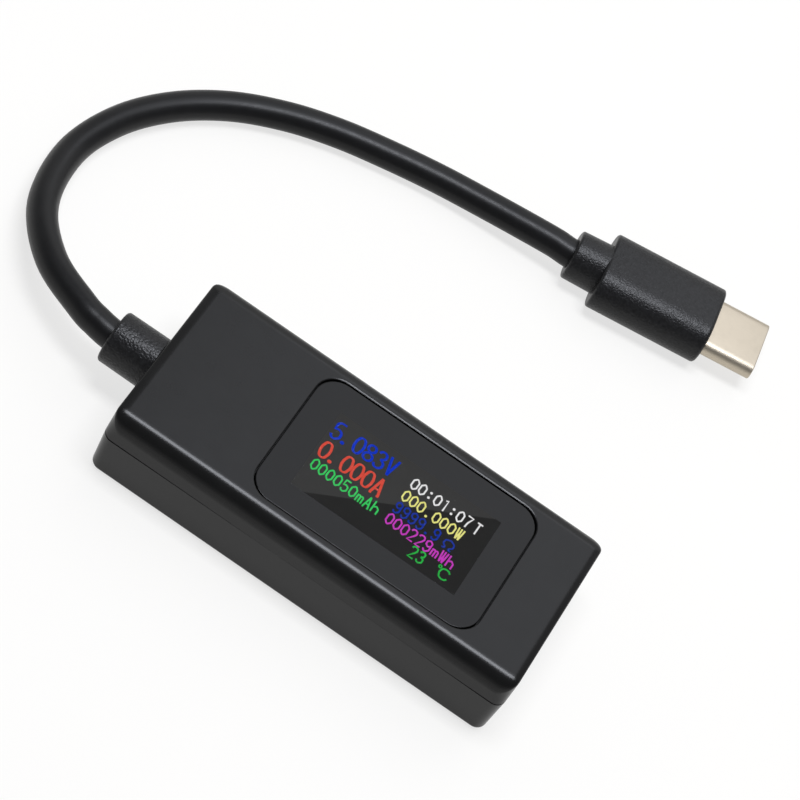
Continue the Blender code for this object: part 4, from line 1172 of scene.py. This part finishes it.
class METER_OT_display(Operator):
    """Display panel and its lit readings"""

    bl_idname = "meter.display"
    bl_label = "Display"

    def execute(self, context):
        looks = context.scene.meter_display
        self.add_panel(looks)
        lit = {name: glowing(f"reading_{name}", colour, looks.glow) for name, colour in INKS.items()}
        for reading in READINGS:
            self.add_reading(reading, lit[reading[-1]])
        return {"FINISHED"}

    def add_panel(self, looks):
        """The panel's glass."""
        loops = [self.section(0.0, GLASS_LOW.z)]
        loops += round_edge(self.section, WINDOW_EDGE, GLASS_HIGH.z, steps=3)
        panel = loft("display_panel", loops)
        add_piece("display_panel", panel, self.panel_finish(looks), nodes=("lcd_glass",))

    def section(self, inset, height):
        """The panel's outline at a height, drawn in by an inset."""
        points = outline(GLASS_HALF_X - inset, GLASS_HALF_Y - inset, GLASS_CORNER - inset)
        return level(points, height, ((GLASS_LOW.x + GLASS_HIGH.x) / 2, 0.0))

    def panel_finish(self, looks):
        """Panel without gloss, shown by its glow alone: a dark glow, and a lighter painted reflection that
        ends on a slanting line.
        """
        # The panel takes no light and has no gloss; its Emission Color is painted light and a painted
        # reflection, with a little of a dark LCD's own glow
        material, tree, shader = new_finish(
            "panel_painted_light", Base_Color=UNLIT, Specular_IOR_Level=0.0, Emission_Strength=1.0
        )
        line = PAINTED_REFLECTION_END - PAINTED_REFLECTION_START
        place = add_node(tree, "ShaderNodeTexCoord")
        turn = add_node(tree, "ShaderNodeMapping", vector_type="TEXTURE")
        turn.inputs["Location"].default_value = (*PAINTED_REFLECTION_START, 0.0)
        turn.inputs["Rotation"].default_value = (0.0, 0.0, math.atan2(line.y, line.x))
        split = add_node(tree, "ShaderNodeSeparateXYZ")
        tree.links.new(place.outputs["Object"], turn.inputs["Vector"])
        tree.links.new(turn.outputs["Vector"], split.inputs["Vector"])
        # Share of the panel under the painted reflection
        reflecting = spread(tree, split.outputs["Y"], 0.0, 1.0, start=-PAINTED_REFLECTION_EDGE, end=PAINTED_REFLECTION_EDGE)
        tree.links.new(blend(tree, reflecting, looks.panel, looks.painted_reflection), shader.inputs["Emission Color"])
        grid = noise(tree, PIXEL, detail=1.0)
        tree.links.new(spread(tree, grid, 0.35, 0.5), shader.inputs["Roughness"])
        return material

    def add_reading(self, reading, material):
        """A row of figures, drawn in strips just above the panel."""
        name, text, left, middle, size, slope, _ = reading
        pitch, width, height, corner, weight = (value * MM for value in size[:5])
        lift = GLASS_HIGH.z + READING_LIFT
        centre = Vector((left * MM + pitch * len(text) / 2, middle * MM))
        turn = Matrix.Rotation(math.radians(slope), 2)
        paths = []
        for number, figure in enumerate(text):
            for points, closed in FIGURES[figure]:
                path = []
                for x, y in points:
                    along = left * MM + pitch * number + width * x / GRID_WIDTH
                    up = middle * MM + height * (y / GRID_HEIGHT - 0.5)
                    spot = centre + turn @ (Vector((along, up)) - centre)
                    path.append((spot.x, spot.y, lift))
                paths.append((path, closed))
        title = f"reading_{name}"
        add_piece(title, swept_strips(title, paths, material, weight, READING_THICKNESS, corner, size[5]))


class METER_OT_bush(Operator):
    """Grained strain relief on the cable end of the housing"""

    bl_idname = "meter.bush"
    bl_label = "Strain relief"

    def execute(self, context):
        looks = context.scene.meter_cable
        bore = looks.diameter / 2 + BORE_CLEARANCE
        loops = [self.ring(bore, BUSH_X + BORE_DEPTH), self.ring(bore, BUSH_X + BORE_CLEARANCE)]
        loops.append(self.ring(bore + BORE_CLEARANCE, BUSH_X))
        loops.append(self.section(BUSH_EDGE + SUPPORT, BUSH_X))
        loops += reversed(round_edge(self.section, BUSH_EDGE, BUSH_X, facing=-1))
        loops += [
            self.ring(BUSH_RADIUS, -END_X - SEAT),
            self.ring(NECK_RADIUS, -END_X - SEAT),
            self.ring(NECK_RADIUS, -END_X + WALL + SEAT),
            self.ring(FLANGE_RADIUS, -END_X + WALL + SEAT),
            self.ring(FLANGE_RADIUS, FLANGE_X),
        ]
        finish = grip_finish("grained_bush", looks, looks.bush_grain)
        bush = loft("cable_bush", loops)
        add_piece("cable_bush", bush, finish, nodes=("strain_relief",))
        return {"FINISHED"}

    def ring(self, radius, along):
        """A circle about the bush's axis."""
        return across(oblong(radius, radius), along, AXIS_Z)

    def section(self, inset, along):
        """The bush's outer end, drawn in by an inset."""
        return self.ring(BUSH_END_RADIUS - inset, along)


def grip_finish(name, looks, grain):
    """Soft moulded plastic with a raised grain."""
    return moulded(
        name,
        looks.grip,
        roughness=0.34,
        grain=grain,
        depth=GRAIN_DEPTH * grain,
        specular=0.3,
        variation=0.4,
        lump=1.6 * grain,
        detail=1.0,
    )


def tube_mesh(name, size, ends, lips, height=0.0):
    """Flattened metal tube. A lip is the radius of the front edge and its steps, outside and then inside."""
    half_width, half_height, wall = size
    back, front = ends
    (outer_lip, outer_steps), (inner_lip, inner_steps) = lips

    def outer(inset, along):
        return across(oblong(half_width - inset, half_height - inset), along, height)

    def inner(inset, along):
        return across(oblong(half_width - wall + inset, half_height - wall + inset), along, height)

    loops = [outer(0.0, back)]
    loops += round_edge(outer, outer_lip, front, steps=outer_steps)
    loops += reversed(round_edge(inner, inner_lip, front, steps=inner_steps))
    loops.append(inner(0.0, back))
    return loft(name, loops, ring=True)


class METER_OT_plug(Operator):
    """Plug: grained grip, plated tongue and its contacts"""

    bl_idname = "meter.plug"
    bl_label = "Plug"

    def execute(self, context):
        looks = context.scene.meter_cable
        metal = context.scene.meter_metal
        grip = combined("plug_grip", self.body_mesh(), [self.collar_mesh(looks)], "UNION")
        grip.transform(PLUG_FRAME)
        finish = grip_finish("grained_grip", looks, looks.grain)
        pieces = [add_piece("plug_grip", grip, finish, nodes=("plug_overmould",))]
        tongue = tube_mesh(
            "plug_tongue",
            (TONGUE_HALF_WIDTH, TONGUE_HALF_HEIGHT, TONGUE_WALL),
            (-TONGUE_HIDDEN, TONGUE_LENGTH),
            ((TONGUE_LIP, 5), (TONGUE_LIP / 2, 3)),
        )
        tongue.transform(PLUG_FRAME)
        nickel = plated("nickel_plate", metal.nickel, roughness=0.43, stretch=(0.15, 1.0, 1.0))
        pieces.append(add_piece("plug_tongue", tongue, nickel, nodes=("plug_shell",)))
        plastic = moulded(
            "contact_carrier", (0.01, 0.01, 0.01), roughness=0.45, grain=0.15 * MM, depth=0.002 * MM
        )
        gold = plated("contact_gold", metal.gold, roughness=0.22, stretch=(0.3, 1.0, 1.0))
        for side, name, node in ((1, "upper", "plug_upper_wafer"), (-1, "lower", "plug_lower_wafer")):
            insert = self.insert_mesh(side)
            insert.transform(PLUG_FRAME)
            pieces.append(
                add_piece(f"plug_{name}_insert", insert, plastic, nodes=(node,))
            )
            contacts = self.contact_mesh(side, name, metal.contacts, gold)
            contacts.transform(PLUG_FRAME)
            pieces.append(add_piece(f"plug_{name}_contacts", contacts))
        pieces += [frame["nodes"][name] for name in ("plug_latch", "plug_board", "plug_resistor")]
        self.declare_cable(looks, pieces)
        return {"FINISHED"}

    def declare_cable(self, looks, pieces):
        """Measures the length of the cable's path, and does nothing more with it."""
        path = cable_path()
        length = sum((second - first).length for first, second in zip(path, path[1:]))

    def body_mesh(self):
        """Flat body with round sides, and the pocket that holds the metal."""
        pocket_width = TONGUE_HALF_WIDTH + SEAT
        pocket_height = TONGUE_HALF_HEIGHT + SEAT
        loops = [
            across(oblong(pocket_width, pocket_height), -POCKET_DEPTH),
            across(oblong(pocket_width, pocket_height), -BORE_CLEARANCE),
            across(oblong(pocket_width + BORE_CLEARANCE, pocket_height + BORE_CLEARANCE), 0.0),
        ]
        loops.append(self.section(GRIP_EDGE + SUPPORT, 0.0))
        loops += reversed(round_edge(self.section, GRIP_EDGE, 0.0))
        loops.append(self.section(0.0, -GRIP_EDGE - SUPPORT))
        loops += round_edge(self.section, GRIP_BACK_EDGE, -GRIP_LENGTH, facing=-1)
        return loft("grip_body", loops)

    def section(self, inset, along):
        """The body's outline, drawn in by an inset."""
        return across(oblong(GRIP_HALF_WIDTH - inset, GRIP_HALF_HEIGHT - inset), along)

    def collar_mesh(self, looks):
        """Round collar behind the body, with the hole that the cable enters."""
        end = -GRIP_LENGTH - COLLAR_LENGTH
        bore = looks.diameter / 2 + BORE_CLEARANCE
        rings = [(COLLAR_RADIUS, -GRIP_LENGTH + COLLAR_OVERLAP), (COLLAR_RADIUS, -GRIP_LENGTH)]
        rings += round_edge(
            lambda inset, along: (COLLAR_END_RADIUS - inset, along), COLLAR_EDGE, end, facing=-1
        )
        rings += [
            (COLLAR_END_RADIUS - COLLAR_EDGE - SUPPORT, end),
            (bore + BORE_CLEARANCE, end),
            (bore, end + BORE_CLEARANCE),
            (bore, end + BORE_DEPTH),
        ]
        return loft("grip_collar", [across(oblong(radius, radius), along) for radius, along in rings])

    def insert_mesh(self, side):
        """Plastic half of the mouth that carries a row of contacts."""
        half_height = (INSERT_OUTER - INSERT_INNER) / 2
        height = side * (INSERT_OUTER + INSERT_INNER) / 2
        full = outline(INSERT_HALF_WIDTH, half_height, INSERT_EDGE)
        small = outline(INSERT_HALF_WIDTH - INSERT_EDGE, half_height - INSERT_EDGE, INSERT_EDGE / 2)
        loops = [
            across(small, INSERT_BACK, height),
            across(full, INSERT_BACK + INSERT_EDGE, height),
            across(full, INSERT_FRONT - INSERT_EDGE, height),
            across(small, INSERT_FRONT, height),
        ]
        return loft("plug_insert", loops)

    def contact_mesh(self, side, name, count, gold):
        """A row of spring contacts on the inner face of an insert."""
        start = -(count - 1) * CONTACT_PITCH / 2
        face = side * (INSERT_INNER - CONTACT_THICKNESS / 4)
        crest = side * (INSERT_INNER - CONTACT_WIDTH / 2)
        path = [(along * MM, start, face + (crest - face) * rise) for along, rise in CONTACT_ROUTE]
        return swept_strips(
            f"plug_{name}_contacts",
            [(path, False)],
            gold,
            CONTACT_WIDTH,
            CONTACT_THICKNESS,
            CONTACT_CORNER,
            count=count,
            pitch=CONTACT_PITCH,
        )


class METER_OT_socket(Operator):
    """Socket at the end of the housing: plated shell, tongue and its contacts"""

    bl_idname = "meter.socket"
    bl_label = "Socket"

    def execute(self, context):
        metal = context.scene.meter_metal
        nickel = bpy.data.materials["nickel_plate"]
        shell = tube_mesh(
            "socket_shell",
            (SOCKET_HALF_WIDTH, SOCKET_HALF_HEIGHT, SOCKET_WALL),
            (SOCKET_LOW.x, SOCKET_HIGH.x),
            ((SOCKET_LIP, 5), (SOCKET_LIP, 5)),
            AXIS_Z,
        )
        add_piece("socket_shell", shell, nickel, nodes=("receptacle_shell",))
        add_piece(
            "socket_tongue",
            self.tongue_mesh(),
            bpy.data.materials["contact_carrier"],
            nodes=("receptacle_tongue",),
        )
        start = -(metal.contacts - 1) * CONTACT_PITCH / 2
        rear = BLADE_LOW.x + BLADE_BASE
        for side, name in ((1, "upper"), (-1, "lower")):
            height = AXIS_Z + side * BLADE_HALF_HEIGHT
            path = [(rear + SEAT, start, height), (BLADE_HIGH.x - 4 * BLADE_EDGE, start, height)]
            pads = swept_strips(
                f"socket_{name}_contacts",
                [(path, False)],
                bpy.data.materials["contact_gold"],
                CONTACT_WIDTH,
                PAD_THICKNESS,
                count=metal.contacts,
                pitch=CONTACT_PITCH,
            )
            add_piece(f"socket_{name}_contacts", pads)
        return {"FINISHED"}

    def tongue_mesh(self):
        """Plastic tongue that carries the contacts, on its base."""
        width = (BLADE_HIGH.y - BLADE_LOW.y) / 2
        height = (BLADE_HIGH.z - BLADE_LOW.z) / 2
        base = oblong(width, height)
        loops = [
            across(base, BLADE_LOW.x, AXIS_Z),
            across(base, BLADE_LOW.x + BLADE_BASE, AXIS_Z),
            self.section(0.0, BLADE_LOW.x + BLADE_BASE),
        ]
        loops += round_edge(self.section, BLADE_EDGE, BLADE_HIGH.x, steps=4)
        return loft("socket_tongue", loops)

    def section(self, inset, along):
        """The tongue's outline, drawn in by an inset."""
        points = outline(BLADE_HALF_WIDTH - inset, BLADE_HALF_HEIGHT - inset, BLADE_EDGE)
        return across(points, along, AXIS_Z)


class METER_OT_key(Operator):
    """Key on the side of the housing, with its flange"""

    bl_idname = "meter.key"
    bl_label = "Key"

    def execute(self, context):
        looks = context.scene.meter_housing
        flange = outline((KEY_HIGH.x - KEY_LOW.x) / 2, (KEY_HIGH.z - KEY_LOW.z) / 2, KEY_EDGE)
        flange_y = KEY_LOW.y + KEY_FLANGE_THICKNESS
        loops = [
            upright(flange, KEY_LOW.y, KEY_X, AXIS_Z),
            upright(flange, flange_y, KEY_X, AXIS_Z),
            self.section(0.0, flange_y),
        ]
        loops += round_edge(self.section, KEY_EDGE, KEY_HIGH.y, steps=6)
        for share in DISH_SHARES:
            inset = KEY_EDGE + (KEY_HALF_HEIGHT - KEY_EDGE) * share
            depth = KEY_DISH * math.sin(share * math.pi / 2)
            loops.append(self.section(inset, KEY_HIGH.y - depth))
        plastic = moulded("satin_key", looks.key_colour, roughness=0.34, grain=0.12 * MM, depth=0.002 * MM)
        add_piece(
            "key_cap",
            loft("key_cap", loops),
            plastic,
            body="function_key",
            nodes=("function_button",),
        )
        return {"FINISHED"}

    def section(self, inset, along):
        """The cap's outline, drawn in by an inset."""
        return upright(oblong(KEY_HALF_LENGTH - inset, KEY_HALF_HEIGHT - inset), along, KEY_X, AXIS_Z)


# Finishes of the solids inside: colour, roughness, metallic and size of the mottle in millimetres
INNER_FINISHES = {
    "key_plastic": ((0.012, 0.012, 0.0125), 0.4, 0.0, 0.4),
    "cable_jacket": ((0.008, 0.008, 0.0085), 0.4, 0.0, 0.5),
    "tinned_metal": ((0.62, 0.62, 0.6), 0.3, 1.0, 0.3),
    "tape": ((0.02, 0.02, 0.02), 0.7, 0.0, 0.5),
    "backlight_white": ((0.75, 0.75, 0.74), 0.5, 0.0, 2.0),
    "flex_polyimide": ((0.45, 0.2, 0.03), 0.35, 0.0, 0.8),
    "foam": ((0.05, 0.05, 0.05), 0.95, 0.0, 0.15),
    "board_laminate": ((0.02, 0.12, 0.05), 0.42, 0.0, 0.6),
    "chip_epoxy": ((0.02, 0.02, 0.02), 0.6, 0.0, 0.1),
    "resistor_ceramic": ((0.7, 0.68, 0.64), 0.5, 0.0, 0.2),
    "capacitor_ceramic": ((0.35, 0.24, 0.14), 0.5, 0.0, 0.2),
    "core_red": ((0.45, 0.02, 0.02), 0.42, 0.0, 0.3),
    "core_black": ((0.015, 0.015, 0.015), 0.42, 0.0, 0.3),
    "core_green": ((0.02, 0.3, 0.06), 0.42, 0.0, 0.3),
    "core_white": ((0.75, 0.75, 0.73), 0.42, 0.0, 0.3),
    "core_blue": ((0.03, 0.1, 0.45), 0.42, 0.0, 0.3),
}


class METER_OT_inside(Operator):
    """Finishes of the boards, chips, cores and pads inside"""

    bl_idname = "meter.inside"
    bl_label = "Inside"

    def execute(self, context):
        made = {}
        for subpart in frame["record"]["subparts"]:
            obj = frame["nodes"][subpart["node"]]
            slot = subpart["material_slot"]
            if obj.hide_render:
                continue
            if slot not in made:
                made[slot] = self.inner_finish(slot)
            if not obj.material_slots:
                obj.data.materials.append(made[slot])
            for place in obj.material_slots:
                place.material = made[slot]
        return {"FINISHED"}

    def inner_finish(self, slot):
        """A plain mottled finish for a material slot of the record."""
        colour, roughness, metallic, size = INNER_FINISHES[slot]
        material, tree, shader = new_finish(f"inside_{slot}", Metallic=metallic)
        mottle = noise(tree, size * MM, detail=3.0)
        tone = blend(tree, spread(tree, mottle, 0.0, 1.0), *shades(colour, share=0.12))
        tree.links.new(tone, shader.inputs["Base Color"])
        tree.links.new(spread(tree, mottle, roughness * 0.85, roughness), shader.inputs["Roughness"])
        add_bump(tree, shader, mottle, depth=0.01 * size * MM)
        return material


GROUPS = {
    "meter_housing": HousingLooks,
    "meter_display": DisplayLooks,
    "meter_cable": CableLooks,
    "meter_metal": MetalLooks,
    "meter_stage": StageLooks,
}

OPERATORS = (
    METER_OT_stage,
    METER_OT_cable,
    METER_OT_housing,
    METER_OT_window,
    METER_OT_display,
    METER_OT_bush,
    METER_OT_plug,
    METER_OT_socket,
    METER_OT_key,
    METER_OT_inside,
)


class METER_PT_looks(Panel):
    """Steps that dress the meter, and the values they use"""

    bl_idname = "METER_PT_looks"
    bl_label = "Power meter"
    bl_space_type = "VIEW_3D"
    bl_region_type = "UI"
    bl_category = "Power meter"

    def draw(self, context):
        layout = self.layout
        for operator in OPERATORS:
            layout.operator(operator.bl_idname)
        for name in GROUPS:
            looks = getattr(context.scene, name)
            box = layout.box()
            for prop in looks.__annotations__:
                box.prop(looks, prop)


def register():
    """Registers the groups, the operators and the panel."""
    for group in GROUPS.values():
        bpy.utils.register_class(group)
    for operator in OPERATORS:
        bpy.utils.register_class(operator)
    bpy.utils.register_class(METER_PT_looks)
    for name, group in GROUPS.items():
        setattr(bpy.types.Scene, name, PointerProperty(type=group))


def unregister():
    """Takes back what register did."""
    for name in GROUPS:
        delattr(bpy.types.Scene, name)
    bpy.utils.unregister_class(METER_PT_looks)
    for operator in reversed(OPERATORS):
        bpy.utils.unregister_class(operator)
    for group in reversed(list(GROUPS.values())):
        bpy.utils.unregister_class(group)


def main():
    """Dresses the meter."""
    register()
    bpy.ops.meter.stage()
    bpy.ops.meter.cable()
    bpy.ops.meter.housing()
    bpy.ops.meter.window()
    bpy.ops.meter.display()
    bpy.ops.meter.bush()
    bpy.ops.meter.plug()
    bpy.ops.meter.socket()
    bpy.ops.meter.key()
    bpy.ops.meter.inside()


if __name__ == "__main__":
    main()
